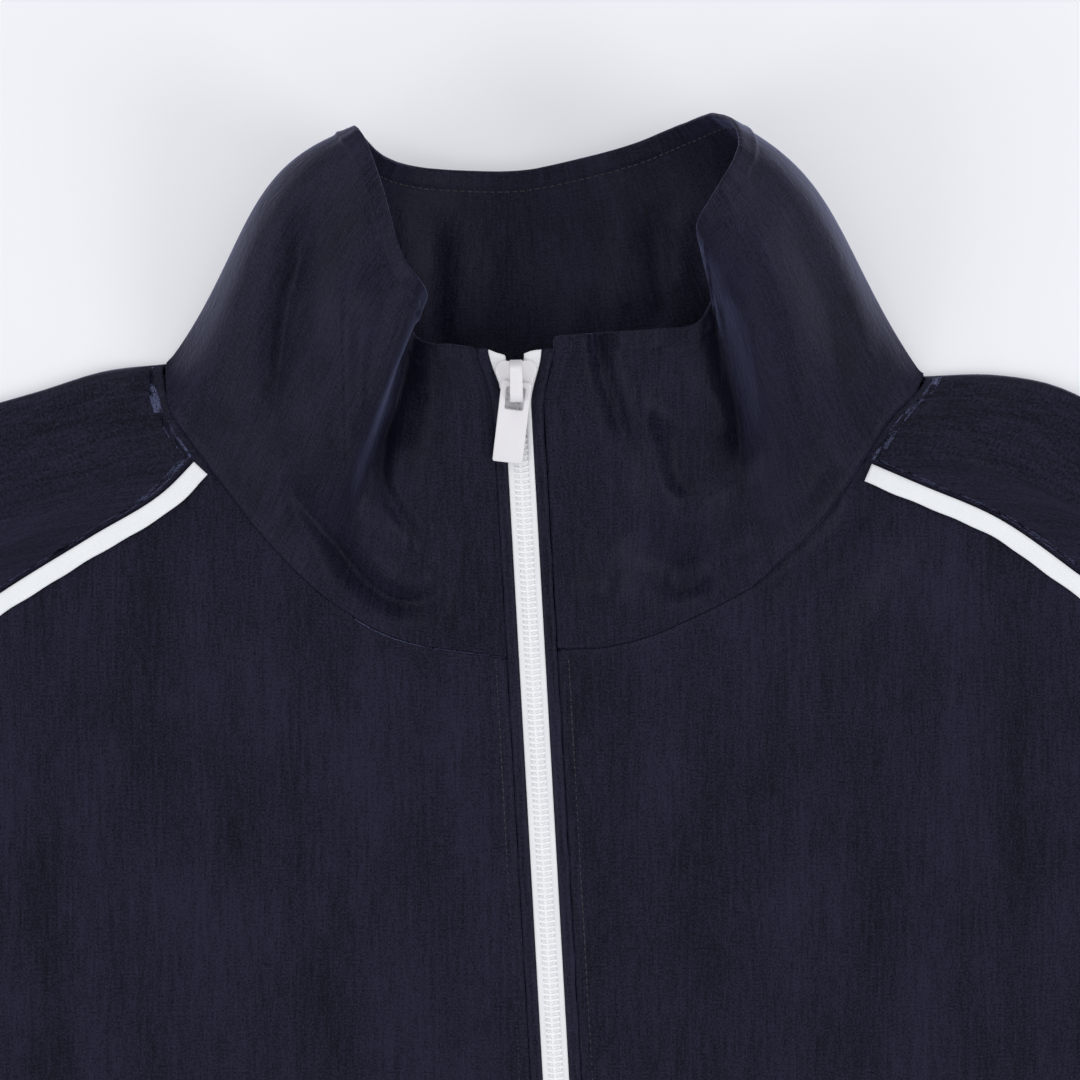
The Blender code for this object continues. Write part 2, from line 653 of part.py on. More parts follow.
def slider_outline():
    """Shield shape: a rounded wide end towards the collar's edge and a narrow end below."""
    half = SLIDER_LENGTH / 2
    corner = half * SLIDER_ROUNDING
    centre_x = SLIDER_WIDE / 2 - corner
    centre_y = half - corner
    right = [(SLIDER_NARROW / 2, -half)]
    for angle in np.radians(np.linspace(-15, 75, 6)):
        right.append((centre_x + corner * math.cos(angle), centre_y + corner * math.sin(angle)))
    return right + [(-x, y) for x, y in reversed(right)]


def bridge_outline():
    """Side view of the bridge: a low arch, square at its lower end and sloped at its upper one."""
    root = -BRIDGE_ROOT
    top = BRIDGE_RISE + BRIDGE_THICK
    corner = BRIDGE_THICK / 2
    shoulder = BRIDGE_UP - BRIDGE_SLOPE
    outside = [
        (-BRIDGE_DOWN, root),
        (-BRIDGE_DOWN, top - corner),
        (-BRIDGE_DOWN + corner, top),
        (shoulder, top),
        (BRIDGE_UP, root),
    ]
    inside = [
        (BRIDGE_UP - BRIDGE_THICK, root),
        (shoulder - corner, BRIDGE_RISE),
        (-BRIDGE_DOWN + BRIDGE_THICK, BRIDGE_RISE),
        (-BRIDGE_DOWN + BRIDGE_THICK, root),
    ]
    return outside + inside


def make_slider(material):
    top = SLIDER_CLEARANCE + SLIDER_PLATE
    body = add_prism("slider", slider_outline(), SLIDER_CLEARANCE, top, material)
    bridge = add_side_prism("bridge", bridge_outline(), BRIDGE_WIDTH / 2, material)
    place(bridge, Matrix.Translation((0, BAR_Y - SLIDER_Y, top)))
    combine(body, bridge, "UNION")
    place(body, zip_frame(SLIDER_Y, SLIDER_YAW))
    return body


def tab_frame():
    """The bar's place and the tab's directions: along the bar, up the tab and out of it."""
    height = SLIDER_CLEARANCE + SLIDER_PLATE + BAR_ABOVE
    pitch = Matrix.Rotation(TAB_PITCH, 4, "X")
    return zip_frame(BAR_Y, TAB_YAW) @ Matrix.Translation((0, 0, height)) @ pitch


def make_tab(material):
    """A flat plate with a slot round the bridge. The bar above the slot is on the hinge axis."""
    half = TAB_WIDTH / 2
    top = BAR_RADIUS
    low = BAR_RADIUS - TAB_LENGTH
    right = [
        (half - TAB_CORNER, low),
        (half, low + TAB_CORNER),
        (half, top - TAB_CORNER),
        (half - TAB_CORNER, top),
    ]
    outline = right + [(-x, y) for x, y in reversed(right)]
    plate = add_prism("pull_tab", outline, -TAB_THICK / 2, TAB_THICK / 2, material)
    slot_right = [(SLOT_WIDTH / 2, -BAR_RADIUS - SLOT_LENGTH), (SLOT_WIDTH / 2, -BAR_RADIUS)]
    slot_outline = slot_right + [(-x, y) for x, y in reversed(slot_right)]
    slot = add_prism("slot", slot_outline, -TAB_THICK, TAB_THICK, material)
    combine(plate, slot, "DIFFERENCE")
    place(plate, tab_frame())
    return plate


def make_material(name, colour, roughness, metallic=0.0):
    material = bpy.data.materials.new(name)
    material.use_nodes = True
    shader = material.node_tree.nodes["Principled BSDF"]
    shader.inputs["Base Color"].default_value = colour
    shader.inputs["Roughness"].default_value = roughness
    shader.inputs["Metallic"].default_value = metallic
    material.diffuse_color = colour
    return material


def centre_on_floor(objects):
    """Moves every mesh so that the middle of the footprint is at the origin."""
    corners = np.array([v.co[:] for obj in objects for v in obj.data.vertices])
    middle = (corners.min(axis=0) + corners.max(axis=0)) / 2
    for obj in objects:
        obj.data.transform(Matrix.Translation((-middle[0], -middle[1], 0)))
    print("middle of the footprint, mm:", middle[0] / MM, middle[1] / MM)


def main():
    for obj in list(bpy.data.objects):
        bpy.data.objects.remove(obj)
    cloth = {
        name: make_material(name, NAVY, 0.75)
        for name in ("front cloth", "back cloth", "sleeve cloth", "collar cloth", "lip cloth")
    }
    white_tape = make_material("piping tape", WHITE_TAPE, 0.6)
    chain = make_material("zip chain", WHITE_TAPE, 0.45)
    painted = make_material("painted metal", WHITE_METAL, 0.35)
    objects = [make_back(cloth["back cloth"]), make_collar(cloth["collar cloth"])]
    for side in SIDES:
        objects.append(make_front(side, cloth["front cloth"]))
        objects.append(make_sleeve(side, cloth["sleeve cloth"]))
        objects.append(make_piping(side, white_tape))
        objects.append(make_lip(side, cloth["lip cloth"]))
    objects += [make_chain(chain), make_slider(painted), make_tab(painted)]
    centre_on_floor(objects)


main()
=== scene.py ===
"""The looks of a cropped windbreaker, zipped to the top and laid on its back.

Shapes are worked out in millimetres from the middle of the front neck seam, with +Y towards the
collar's edge and "left" at -X, and are put into the meshes in metres, in the frame's own place.
Cloth is a thin shell on the form of its solid, with the smaller folds, seams and hems added.
"""

import math

import bmesh
import bpy
import numpy as np
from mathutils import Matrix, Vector


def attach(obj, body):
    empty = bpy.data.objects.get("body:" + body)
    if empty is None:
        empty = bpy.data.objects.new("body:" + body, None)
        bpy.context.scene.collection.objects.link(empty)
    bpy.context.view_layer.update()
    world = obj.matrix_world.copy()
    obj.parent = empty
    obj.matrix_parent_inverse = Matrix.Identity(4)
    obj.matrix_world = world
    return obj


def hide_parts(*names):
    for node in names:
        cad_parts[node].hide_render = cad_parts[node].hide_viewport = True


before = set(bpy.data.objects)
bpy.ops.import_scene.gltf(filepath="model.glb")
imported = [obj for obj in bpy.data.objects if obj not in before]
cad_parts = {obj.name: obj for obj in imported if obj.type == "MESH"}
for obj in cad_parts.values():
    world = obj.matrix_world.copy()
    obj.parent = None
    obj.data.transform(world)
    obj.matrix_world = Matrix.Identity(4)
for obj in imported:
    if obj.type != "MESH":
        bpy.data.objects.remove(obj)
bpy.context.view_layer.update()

MM = 0.001
TO_ROW = np.array([-2.0, 146.4924, 0.0])  # from the neck seam to the middle of the footprint
DETAIL = 1.0

CLOTH = 1.2  # wall of the solids, whose outer faces the shells follow
SHELL = 0.55  # thickness of one layer of cloth as it is shown
HEM_SHELL = 1.15  # thickness of a folded hem
SEAM_GAP = 0.3
HALF_GAP = SEAM_GAP / 2
LAYERS = 2 * CLOTH + SEAM_GAP
AIR = 2.9
AIR_REACH = 35.0
NECK_RISE = 6.4
NECK_REACH = 42.0
NECK_FADE = 24.0

HEM_Y = -428.0
HEM_CENTRE_X = 8.0
HEM_HALF = 268.0
CUFF = 105.0

ZIP_NECK_X = -2.5
ZIP_LEAN = 0.0566
ZIP_STRAIGHTENS_Y = -106.0
ZIP_STRAIGHTENS_OVER = 120.0
ZIP_KNEE_Y = -230.0
CHAIN_HALF = 3.3
LIP_WIDTH = 2.8
CHAIN_PROUD = 0.2
CLOTH_EDGE = CHAIN_HALF + LIP_WIDTH + 2 * SEAM_GAP
COLLAR_FRONT = 77.0
COLLAR_TOP_Z = 21.0
FORK_Y = 62.0
FLARE = 3.4
TAPE = 4.4
FLARE_REACH = 12.0
SEAM_BLEND = 0.12

SLEEVE_CROWDING = 1.25
SLEEVE_BEND_FADE = 2.2

SLIDER_Y = 69.6
SLIDER_LENGTH = 8.2
SLIDER_WIDE = 10.6
SLIDER_NARROW = 8.0
SLIDER_PLATE = 1.3
SLIDER_CLEARANCE = SEAM_GAP + CHAIN_PROUD
SLIDER_YAW = math.radians(1.0)
BRIDGE_WIDTH = 3.3
BRIDGE_THICK = 0.9
BRIDGE_RISE = 2.9
BRIDGE_UP = 6.0
BRIDGE_DOWN = 4.4
BAR_RADIUS = 0.7
BAR_ABOVE = 1.2
BAR_Y = 67.9
TAB_YAW = math.radians(-6.6)
TAB_WIDTH = 7.6
TAB_LENGTH = 20.6
TAB_THICK = 1.5
TAB_PITCH = math.radians(4.4)
SLOT_WIDTH = 4.6
SLOT_LENGTH = 5.7
COIL_PITCH = 1.4

STITCH_FROM_EDGE = 4.6
STITCH_FROM_SEAM = 1.4
STITCH_FROM_ZIP = 2.4
HEM_DEPTH = 20.0
STITCH_PITCH = 1.9
HEM_PAST_STITCH = 0.8  # how far a folded hem runs on beyond its stitches
HEM_STEP = 0.9

RIM_ARC = 3  # points between the ends of a cloth edge's half round
MERGE = 2e-6  # metres within which points of one skin are merged

NAVY_DEEP = (0.0012, 0.0009, 0.0035)
NAVY = (0.0068, 0.0062, 0.0152)
NAVY_LIGHT = (0.0148, 0.0138, 0.0295)

FLOOR_HALF = 6.0
FLOOR_Z = -0.0006
FLOOR_GLOW = 0.3  # light of the floor's own
CAMERA_HEIGHT = 6.0
FRAME_WIDTH = 0.270
FRAME_CENTRE = (-0.0025, 0.17524)
AIM = (0.0, 0.19, 0.0)
SKY_LOW = (0.62, 0.63, 0.66)  # towards the hem
SKY_HIGH = (0.68, 0.69, 0.72)  # towards the collar
LIGHTS = (
    ("window", (-0.3, 2.2, 1.5), 1.8, 13.0, (1.0, 0.995, 0.98)),
    ("right softbox", (1.8, -0.55, 1.5), 1.3, 17.0, (0.99, 0.99, 1.0)),
    ("left softbox", (-1.8, -0.55, 1.5), 1.3, 13.0, (0.99, 0.99, 1.0)),
)

# Each station runs from the neck seam to the collar's top edge. "front" is 1 where the seam is
# on the upper layer, 0 on the back. "swell" is how far the middle of the station stands off the
# straight line between its ends.
#    seam x, y, front, edge x, y, z, swell x, y, z
COLLAR = {
    "zip left": (-9.2, -0.5, 1, -13.5, 76.3, 21, 0, 0, 0),
    "left of zip": (-20.5, 1.0, 1, -20.5, 77, 22, 0, 0, 0.5),
    "pucker": (-30.5, 2.5, 1, -26.5, 77.2, 22, 0, 0, 0.5),
    "buckle foot": (-40.5, 5.8, 1, -31, 79, 18, 0, 0, 0),
    "buckle": (-50.5, 11.8, 1, -32.5, 84, 17, 0, 0, 0),
    "left corner": (-60.5, 20, 1, -27.8, 89.8, 33, -1, 0, 4),
    "left flap low": (-70.5, 30.5, 1, -34.8, 99.3, 42, -2, 0, 4),
    "left flap": (-77.8, 39.8, 1, -39.3, 114.5, 47, -2.5, 0.5, 4),
    "left flap high": (-85.5, 50, 1, -43.5, 126.3, 49, -3, 1.5, 3),
    "left side": (-93.6, 62.6, 0.8, -46, 130.6, 48, -5, 4, 1),
    "left fold": (-94.5, 72.6, 0.4, -46.6, 131.3, 45, -6, 5, -5),
    "left under": (-87, 68, 0, -45, 129.4, 37, -4, 3, -9),
    "back left": (-70, 58, 0, -40, 124.4, 23, -1, 0.5, -5.6),
    "back left inner": (-47, 50.5, 0, -32, 121.6, 11.5, 0, 0, -2.8),
    "back left middle": (-23, 47, 0, -19, 120.5, 5.4, 0, 0, -1.2),
    "back middle": (0, 46, 0, -5, 120.6, 3.6, 0, 0, -0.75),
    "back right middle": (23, 47, 0, 9, 123.4, 5.2, 0, 0, -1.2),
    "back right inner": (47, 50.5, 0, 23, 127.2, 11.5, 0, 0, -2.8),
    "back right": (70, 57, 0, 35, 132, 22, 1, 0.5, -5.4),
    "right under": (88, 65.5, 0, 44, 134.4, 36, 4, 3, -9),
    "right fold": (96, 69.6, 0.4, 48.2, 131.8, 46, 5, 4, -5),
    "right side": (93.6, 65.5, 0.8, 49.4, 128.2, 50, 4.5, 3, 1),
    "right flap high": (87, 59, 1, 48.4, 123.8, 52, 3, 1.5, 3),
    "right flap": (80.3, 48.8, 1, 45.2, 118.2, 52, 2.5, 1, 4),
    "right flap low": (75, 40.8, 1, 41.6, 112.4, 50, 2.5, 0, 4),
    "right corner": (69, 32.6, 1, 38.8, 107.5, 45, 2, 0, 4),
    "right turn": (60.5, 24.6, 1, 40.3, 98, 33, 1, 0, 2),
    "right foot": (49.5, 15.3, 1, 42.3, 88.5, 24, 0, 0, 0),
    "right of foot": (38.8, 9.8, 1, 38.5, 82.4, 21, 0, 0, 0),
    "right middle": (27, 4.7, 1, 28, 80.9, 22, 0, 0, 0.5),
    "right of zip": (15, 1.9, 1, 14, 79.9, 22, 0, 0, 0.5),
    "zip right": (4.2, 1.6, 1, -0.1, 79, 21, 0, 0, 0),
}

# The corners where pieces meet the collar, and the columns from each to the next.
COLLAR_STRETCHES = (
    ("zip left", 15),
    ("left flap high", 5),
    ("left fold", 6),
    ("back left", 12),
    ("back right", 6),
    ("right fold", 5),
    ("right flap", 17),
)
# The collar's largest folds, as height over or under the surface, width, whether the first end
# runs off the top edge, and the line that the fold follows.
COLLAR_FOLDS = {
    "left hollow": (-4.8, 6.5, False, ((-58.5, 118), (-59.5, 92), (-63, 76), (-65.5, 58))),
    "left ridge": (4.0, 5.6, False, ((-54, 109), (-50.5, 89), (-49.3, 59), (-48, 41), (-42, 22))),
    "left buckle": (
        -1.2, 4.6, True,
        ((-30, 87), (-33.5, 72.5), (-38.5, 55), (-40.3, 45), (-37, 36.5), (-33, 27)),
    ),
    "left pocket": (
        -3.6, 4.5, False,
        ((-63, 46), (-54, 32.5), (-45.5, 19), (-38, 12.5), (-29.5, 12), (-25, 23)),
    ),
    "right valley": (-6.5, 5.4, True, ((44, 92), (47.5, 76), (50, 57), (48.3, 43))),
    "right ridge": (3.0, 8.0, False, ((54, 121), (56, 101), (64.5, 76), (66, 62), (60.5, 43))),
    "right bowl": (
        2.8, 4.4, False,
        ((22.5, 66), (27.5, 51), (29, 39), (35, 34.3), (43, 39), (49.5, 45)),
    ),
    "right slope": (-2.0, 4.0, True, ((14.5, 79), (17, 66), (21, 53))),
    "right pocket": (-3.0, 6.5, False, ((29, 19), (35, 18), (43, 19))),
}

# Plan outlines that run on from the collar to the underarms and cuffs.
SIDES = {
    "left": {
        "sign": -1,
        "seam": ("left flap high", "left fold", "back left"),
        "raglan": ((-94, 41.3), (-112.8, 29.6), (-135.5, 15.5), (-190, -30), (-240, -100)),
        "back raglan": ((-110, 30), (-160, -20), (-220, -95)),
        "underarm": (-280, -190),
        "overarm": ((-109, 71), (-125.5, 66), (-150, 59), (-200, 43), (-260, 17), (-310, -20),
                    (-362, -72), (-600, -345)),
        "side": ((-266, -250), (-258, -330)),
    },
    "right": {
        "sign": 1,
        "seam": ("right flap", "right fold", "back right"),
        "raglan": ((94.3, 42.8), (113, 34.8), (134.5, 20), (192, -28), (246, -98)),
        "back raglan": ((112, 30), (164, -20), (226, -95)),
        "underarm": (290, -188),
        "overarm": ((113, 70), (124.5, 68.4), (150, 57), (204, 40), (264, 15), (314, -20),
                    (366, -70), (604, -340)),
        "side": ((280, -250), (273, -330)),
    },
}

# Smaller creases of the collar: height, width, sharpness (2 is soft, 1 is a crease), whether the
# first end runs off the top edge, and the line in plan.
COLLAR_CREASES = (
    (-3.0, 2.6, 1.4, False, ((-60.5, 112), (-61, 97), (-63.5, 89), (-65.3, 76), (-66.5, 64), (-65.5, 50))),
    (2.4, 8.0, 1.9, True, ((-45, 126), (-43, 112), (-41.5, 100), (-41, 88))),
    (-0.8, 4.0, 1.8, False, ((-68, 64), (-70, 58), (-66, 51), (-62, 45))),
    (1.5, 2.6, 1.5, False, ((-52, 100), (-50.5, 89), (-49.5, 74), (-49.3, 59), (-48, 41), (-46, 33),
                            (-41.8, 22), (-39, 17))),
    (-1.1, 2.4, 1.5, False, ((-45.5, 92), (-45, 74), (-44.8, 58), (-43.6, 42), (-41, 30))),
    (5.6, 5.0, 2.0, True, ((-32, 88), (-35, 78), (-38.5, 67), (-41.5, 54))),
    (-1.5, 1.5, 1.2, False, ((-31.5, 78), (-35, 66), (-39.3, 53), (-39.6, 45), (-36.5, 37), (-32.5, 29),
                             (-31.3, 16))),
    (3.5, 6.0, 2.0, False, ((-41, 60), (-40, 46), (-37.5, 35), (-33, 26))),
    (-2.0, 1.7, 1.2, False, ((-30, 30), (-27.8, 22), (-26, 15.5), (-28.5, 10))),
    (-2.0, 2.0, 1.3, True, ((-30, 85), (-32.5, 76), (-36.3, 64), (-38.8, 54), (-40, 45), (-38, 37.5),
                            (-34, 33), (-31.6, 26), (-31.5, 17))),
    (1.1, 1.6, 1.3, False, ((-36, 55), (-36.8, 46), (-34.8, 39.5), (-31, 36), (-28.3, 29), (-27.5, 20))),
    (0.9, 1.5, 1.3, False, ((-44, 44), (-42, 35), (-38.5, 28), (-35.5, 21))),
    (-2.8, 2.4, 1.4, False, ((-66, 54), (-60.5, 39), (-50.5, 26.5), (-42, 17), (-33, 13.3),
                             (-27, 16), (-25, 25))),
    (-1.0, 1.4, 1.2, False, ((-33, 40), (-30.5, 38.2), (-27.5, 35.8), (-24.2, 33.8), (-19, 33))),
    (0.6, 1.4, 1.4, False, ((-31, 35), (-27, 32.4), (-23, 31), (-18, 31))),
    (-0.6, 1.2, 1.3, True, ((-26, 77), (-25.6, 73), (-24.7, 67))),
    (0.4, 1.6, 1.6, True, ((-30.5, 77), (-30, 71), (-28.5, 65))),
    (-0.7, 4.5, 1.8, False, ((-78, 74), (-73, 66), (-70, 52), (-64, 40))),
    (0.9, 5.0, 1.8, False, ((-76, 92), (-78, 80), (-80, 66), (-77, 54))),
    (-0.5, 2.2, 1.5, False, ((-66, 118), (-70, 104), (-75, 92))),
    (-0.5, 2.4, 1.6, False, ((-20, 60), (-21, 44), (-19, 30), (-20, 16))),
    (-3.4, 2.2, 1.4, True, ((45, 86), (46, 77), (48, 65), (49.5, 52), (48.6, 43))),
    (-1.0, 1.6, 1.3, True, ((41.5, 92), (43.3, 82), (44, 72), (43.4, 62))),
    (1.3, 2.2, 1.4, False, ((43, 101), (46, 91), (51.5, 82), (53.4, 70), (54.2, 60), (53, 50))),
    (1.2, 3.6, 1.7, False, ((54.5, 119), (56, 101), (62, 89), (64.5, 76), (66, 64), (64.5, 54), (60.7, 44))),
    (-1.0, 3.4, 1.7, False, ((60, 116), (64, 101), (70, 88), (73, 76), (74, 64), (71, 54))),
    (1.0, 2.6, 1.6, False, ((70, 104), (76, 92), (80, 80), (81, 70), (79, 60))),
    (-0.6, 2.2, 1.5, False, ((80, 92), (84, 82), (85.5, 74), (84, 66))),
    (1.5, 2.2, 1.5, False, ((22.5, 66), (25.8, 59), (27.5, 51), (28.5, 45.5), (31, 41.5), (35, 39.2),
                            (40, 39.2), (45, 41.5), (49.5, 46))),
    (-2.8, 2.0, 1.4, True, ((12.6, 79), (14.6, 71), (17.8, 63), (20.2, 56), (23, 48))),
    (-3.2, 5.5, 1.9, False, ((5, 82), (14, 82.5), (24, 82.5), (34, 84), (46, 87))),
    (-0.9, 2.0, 1.4, False, ((31, 58), (32.5, 49), (35.5, 42), (41, 40))),
    (-2.2, 5.5, 2.0, False, ((24, 66), (31, 60), (38, 58), (45, 63))),
    (1.8, 6.0, 1.9, True, ((46, 122), (44, 110), (44.5, 100), (47, 90))),
    (-3.0, 5.0, 1.8, False, ((18, 26), (26, 24), (36, 22.5), (46, 26), (56, 36))),
    (1.4, 4.0, 1.8, False, ((8, 12), (13, 18), (16, 26), (17, 34))),
    (1.0, 1.9, 1.4, False, ((10.8, 24), (12.5, 19), (14.5, 15), (17.5, 13.8), (20, 20), (21.8, 25))),
    (-1.3, 3.6, 1.7, False, ((25, 26), (29, 19), (36, 17), (44, 20), (50, 27))),
    (-0.9, 1.1, 1.2, True, ((12.4, 80), (12.5, 76), (12.8, 71))),
    (0.5, 1.5, 1.6, True, ((9, 80), (9.2, 74), (9.5, 68))),
    (-0.5, 2.0, 1.5, False, ((6, 62), (7, 48), (8, 34), (9, 22))),
    (0.6, 2.2, 1.5, False, ((34, 76), (36, 66), (37.5, 56))),
    (-0.6, 2.0, 1.4, False, ((54, 34), (60, 40), (67, 52), (73, 60))),
    (0.6, 2.0, 1.5, False, ((58, 30), (66, 39), (74, 52))),
)

# The same columns for the inside of the collar's back, and its shallow standing folds.
BACK_CREASES = (
    (-1.5, 3.6, 1.7, False, ((-27.5, 114), (-27, 102), (-26.5, 88), (-26, 70))),
    (1.1, 3.0, 1.7, False, ((-21, 113), (-20.5, 100), (-21, 84), (-21, 70))),
    (-0.8, 1.8, 1.4, False, ((-12, 104), (-11.8, 96), (-13, 84), (-13, 70))),
    (0.6, 2.4, 1.7, False, ((-6, 112), (-6, 98), (-7, 84))),
    (-0.8, 2.4, 1.5, False, ((3, 110), (4, 96), (3, 80))),
    (-1.2, 2.6, 1.6, False, ((13, 108), (13.8, 98), (13.8, 84), (13.5, 70))),
    (0.8, 2.8, 1.7, False, ((20, 112), (20.5, 98), (20, 84))),
    (-1.7, 3.2, 1.6, False, ((26, 114), (28.5, 104), (29.5, 92), (29.5, 76))),
    (1.1, 2.6, 1.6, False, ((35, 114), (34.5, 102), (34.5, 88))),
    (-1.0, 2.4, 1.6, False, ((-38, 116), (-38, 104), (-37, 90))),
    (-0.5, 1.4, 1.3, True, ((-2, 120), (-3, 116), (-3, 111))),
    (-0.5, 1.4, 1.3, True, ((20, 126), (19, 122), (18.5, 117))),
)

# The fronts' and sleeves' soft folds, with the same columns.
PANEL_FOLDS = (
    (-0.7, 2.0, 1.4, False, ((7.6, -14), (10, -18), (14, -22))),
    (0.8, 9.0, 2.0, False, ((-60, -10), (-66, -80), (-62, -160), (-70, -260))),
    (-0.9, 11.0, 2.0, False, ((-38, -20), (-42, -90), (-36, -190), (-40, -300))),
    (0.7, 12.0, 2.0, False, ((-104, 0), (-110, -90), (-100, -200), (-112, -330))),
    (-0.9, 13.0, 2.0, False, ((-86, -20), (-90, -120), (-84, -240), (-92, -360))),
    (-0.8, 14.0, 2.0, False, ((-140, -20), (-150, -120), (-140, -260))),
    (0.8, 10.0, 2.0, False, ((52, -16), (58, -100), (54, -200), (62, -320))),
    (-0.8, 10.0, 2.0, False, ((34, -30), (38, -120), (32, -230), (40, -350))),
    (-3.2, 5.0, 2.0, False, ((50, 11), (62.3, 20.8), (72.3, 28.8), (79.3, 38.3), (83, 45))),
    (1.6, 7.0, 2.0, False, ((62, 2), (71, 14), (81, 22), (88, 31.7), (94, 36))),
    (0.9, 13.0, 2.0, False, ((98, -10), (104, -110), (98, -230), (108, -350))),
    (-0.9, 12.0, 2.0, False, ((78, -30), (84, -120), (78, -260))),
    (-0.8, 15.0, 2.0, False, ((140, -30), (150, -130), (142, -280))),
    (-0.6, 5.0, 1.8, False, ((-110, 10), (-90, 4), (-60, -8))),
    (0.5, 5.0, 1.8, False, ((-120, -2), (-94, -8), (-60, -22))),
    (-0.6, 4.0, 1.7, False, ((90, 26), (84, 10), (72, -8))),
    (0.8, 7.0, 1.8, False, ((-190, -60), (-200, -180), (-190, -300))),
    (-0.9, 8.0, 1.8, False, ((200, -60), (214, -180), (206, -310))),
    (-0.8, 6.0, 1.7, False, ((-240, -390), (-120, -404), (-30, -396))),
    (0.7, 6.0, 1.7, False, ((50, -396), (150, -406), (240, -388))),
    (-1.5, 3.4, 1.6, True, ((-98, 76), (-97.5, 68), (-97, 58), (-99, 48))),
    (0.9, 3.4, 1.6, True, ((-104, 76), (-104, 66), (-104, 54))),
    (-1.0, 5.0, 1.7, False, ((-116, 66), (-120, 50), (-126, 30))),
    (-1.6, 4.2, 1.7, False, ((103, 72), (104, 62), (105, 50), (107, 44))),
    (1.0, 3.4, 1.6, False, ((97, 62), (98, 54), (102, 46))),
    (-0.8, 1.9, 1.4, False, ((97, 53), (106, 52.4), (116, 47), (124, 45))),
    (0.6, 1.7, 1.5, False, ((100, 49), (108, 47), (118, 42))),
    (-0.6, 1.7, 1.4, False, ((104, 60), (113, 57), (122, 51))),
    (0.8, 6.0, 1.8, False, ((112, 68), (118, 56), (126, 40))),
    (-1.0, 8.0, 1.8, False, ((-170, 40), (-210, 0), (-250, -50), (-300, -120))),
    (0.8, 7.0, 1.8, False, ((-160, 20), (-200, -26), (-240, -80))),
    (-1.2, 8.0, 1.8, False, ((-310, -60), (-360, -130), (-430, -220))),
    (0.9, 9.0, 1.8, False, ((-330, -110), (-400, -200), (-470, -280))),
    (-0.9, 5.0, 1.6, False, ((-270, -150), (-300, -158), (-340, -190), (-380, -240))),
    (-1.1, 8.0, 1.8, False, ((172, 36), (214, -4), (256, -56), (306, -120))),
    (0.8, 8.0, 1.8, False, ((160, 14), (204, -30), (250, -90))),
    (-1.2, 9.0, 1.8, False, ((316, -66), (368, -132), (440, -226))),
    (0.9, 8.0, 1.8, False, ((330, -116), (402, -206), (480, -300))),
    (-0.9, 5.0, 1.6, False, ((282, -150), (312, -158), (350, -196), (390, -250))),
)

# Shallow folds of the back panel's upper face and the sleeves' lower layer, unseen from above.
HIDDEN_FOLDS = (
    (0.25, 14.0, 2.0, False, ((-90, 20), (-96, -120), (-88, -300))),
    (0.25, 12.0, 2.0, False, ((90, 10), (98, -140), (92, -320))),
)


def smooth_curve(knots, values, at):
    """Cubic Hermite curve through the values, with each tangent taken from its neighbours."""
    knots = np.asarray(knots, float)
    values = np.asarray(values, float)
    tangents = np.gradient(values, knots, axis=0)
    at = np.clip(at, knots[0], knots[-1])
    i = np.clip(np.searchsorted(knots, at, side="right") - 1, 0, len(knots) - 2)
    span = (knots[i + 1] - knots[i])[:, None]
    s = (at - knots[i])[:, None] / span
    return (
        (2 * s**3 - 3 * s**2 + 1) * values[i]
        + (s**3 - 2 * s**2 + s) * span * tangents[i]
        + (3 * s**2 - 2 * s**3) * values[i + 1]
        + (s**3 - s**2) * span * tangents[i + 1]
    )


def chord_knots(points):
    """Running length along the straight lines between the points."""
    steps = np.linalg.norm(np.diff(points, axis=0), axis=1)
    return np.concatenate([[0], np.cumsum(steps)])


def through(points, shares):
    """Points at the given shares of the length of a smooth curve through a few points."""
    points = np.asarray(points, float)
    knots = chord_knots(points)
    return smooth_curve(knots, points, np.asarray(shares) * knots[-1])


def unit(vectors):
    """Vectors brought to a length of 1 along their last axis."""
    return vectors / np.linalg.norm(vectors, axis=-1, keepdims=True)


def smoothstep(x):
    """0 below 0, 1 above 1, and 3x^2 - 2x^3 between."""
    x = np.clip(x, 0, 1)
    return x * x * (3 - 2 * x)


def near_line(points, line):
    """Distance from each point to a line of straight pieces, and the share along it."""
    line = np.asarray(line, float)
    start = line[:-1]
    step = np.diff(line, axis=0)
    length = np.linalg.norm(step, axis=1)
    offset = points[..., None, :] - start
    share = np.clip((offset * step).sum(-1) / length**2, 0, 1)
    distance = np.linalg.norm(offset - share[..., None] * step, axis=-1)
    best = distance.argmin(-1)[..., None]
    along = (np.concatenate([[0], np.cumsum(length)[:-1]]) + share * length) / length.sum()
    return np.take_along_axis(distance, best, -1)[..., 0], np.take_along_axis(along, best, -1)[..., 0]


def crease_heights(points, creases):
    """Sum of ridges and troughs: each is exp(-(distance / width)^sharpness) across its line, with
    its tip rounded over a fifth of its width, and fades in over 30% of its line at its ends."""
    total = np.zeros(points.shape[:-1])
    flat = points.reshape(-1, 2)
    out = total.reshape(-1)
    for height, width, sharpness, off_edge, line in creases:
        line = through(line, np.linspace(0, 1, 20))
        low = line.min(axis=0) - 3 * width
        high = line.max(axis=0) + 3 * width
        near = np.flatnonzero(((flat > low) & (flat < high)).all(axis=1))
        if not len(near):
            continue
        distance, along = near_line(flat[near], line)
        fade = smoothstep((1 - along) / 0.3)
        if not off_edge:
            fade = fade * smoothstep(along / 0.3)
        rounded = np.sqrt(distance**2 + (0.2 * width) ** 2) / width
        out[near] += height * fade * np.exp(-(rounded**sharpness))
    return total


def collar_knots():
    """Length round the collar, as the mean of the seam's and the top edge's."""
    rows = np.array(list(COLLAR.values()))
    return (chord_knots(rows[:, 0:2]) + chord_knots(rows[:, 3:6])) / 2


def stations(places):
    """COLLAR's columns at places round the collar, on smooth curves through its rows."""
    return smooth_curve(collar_knots(), np.array(list(COLLAR.values())), places)


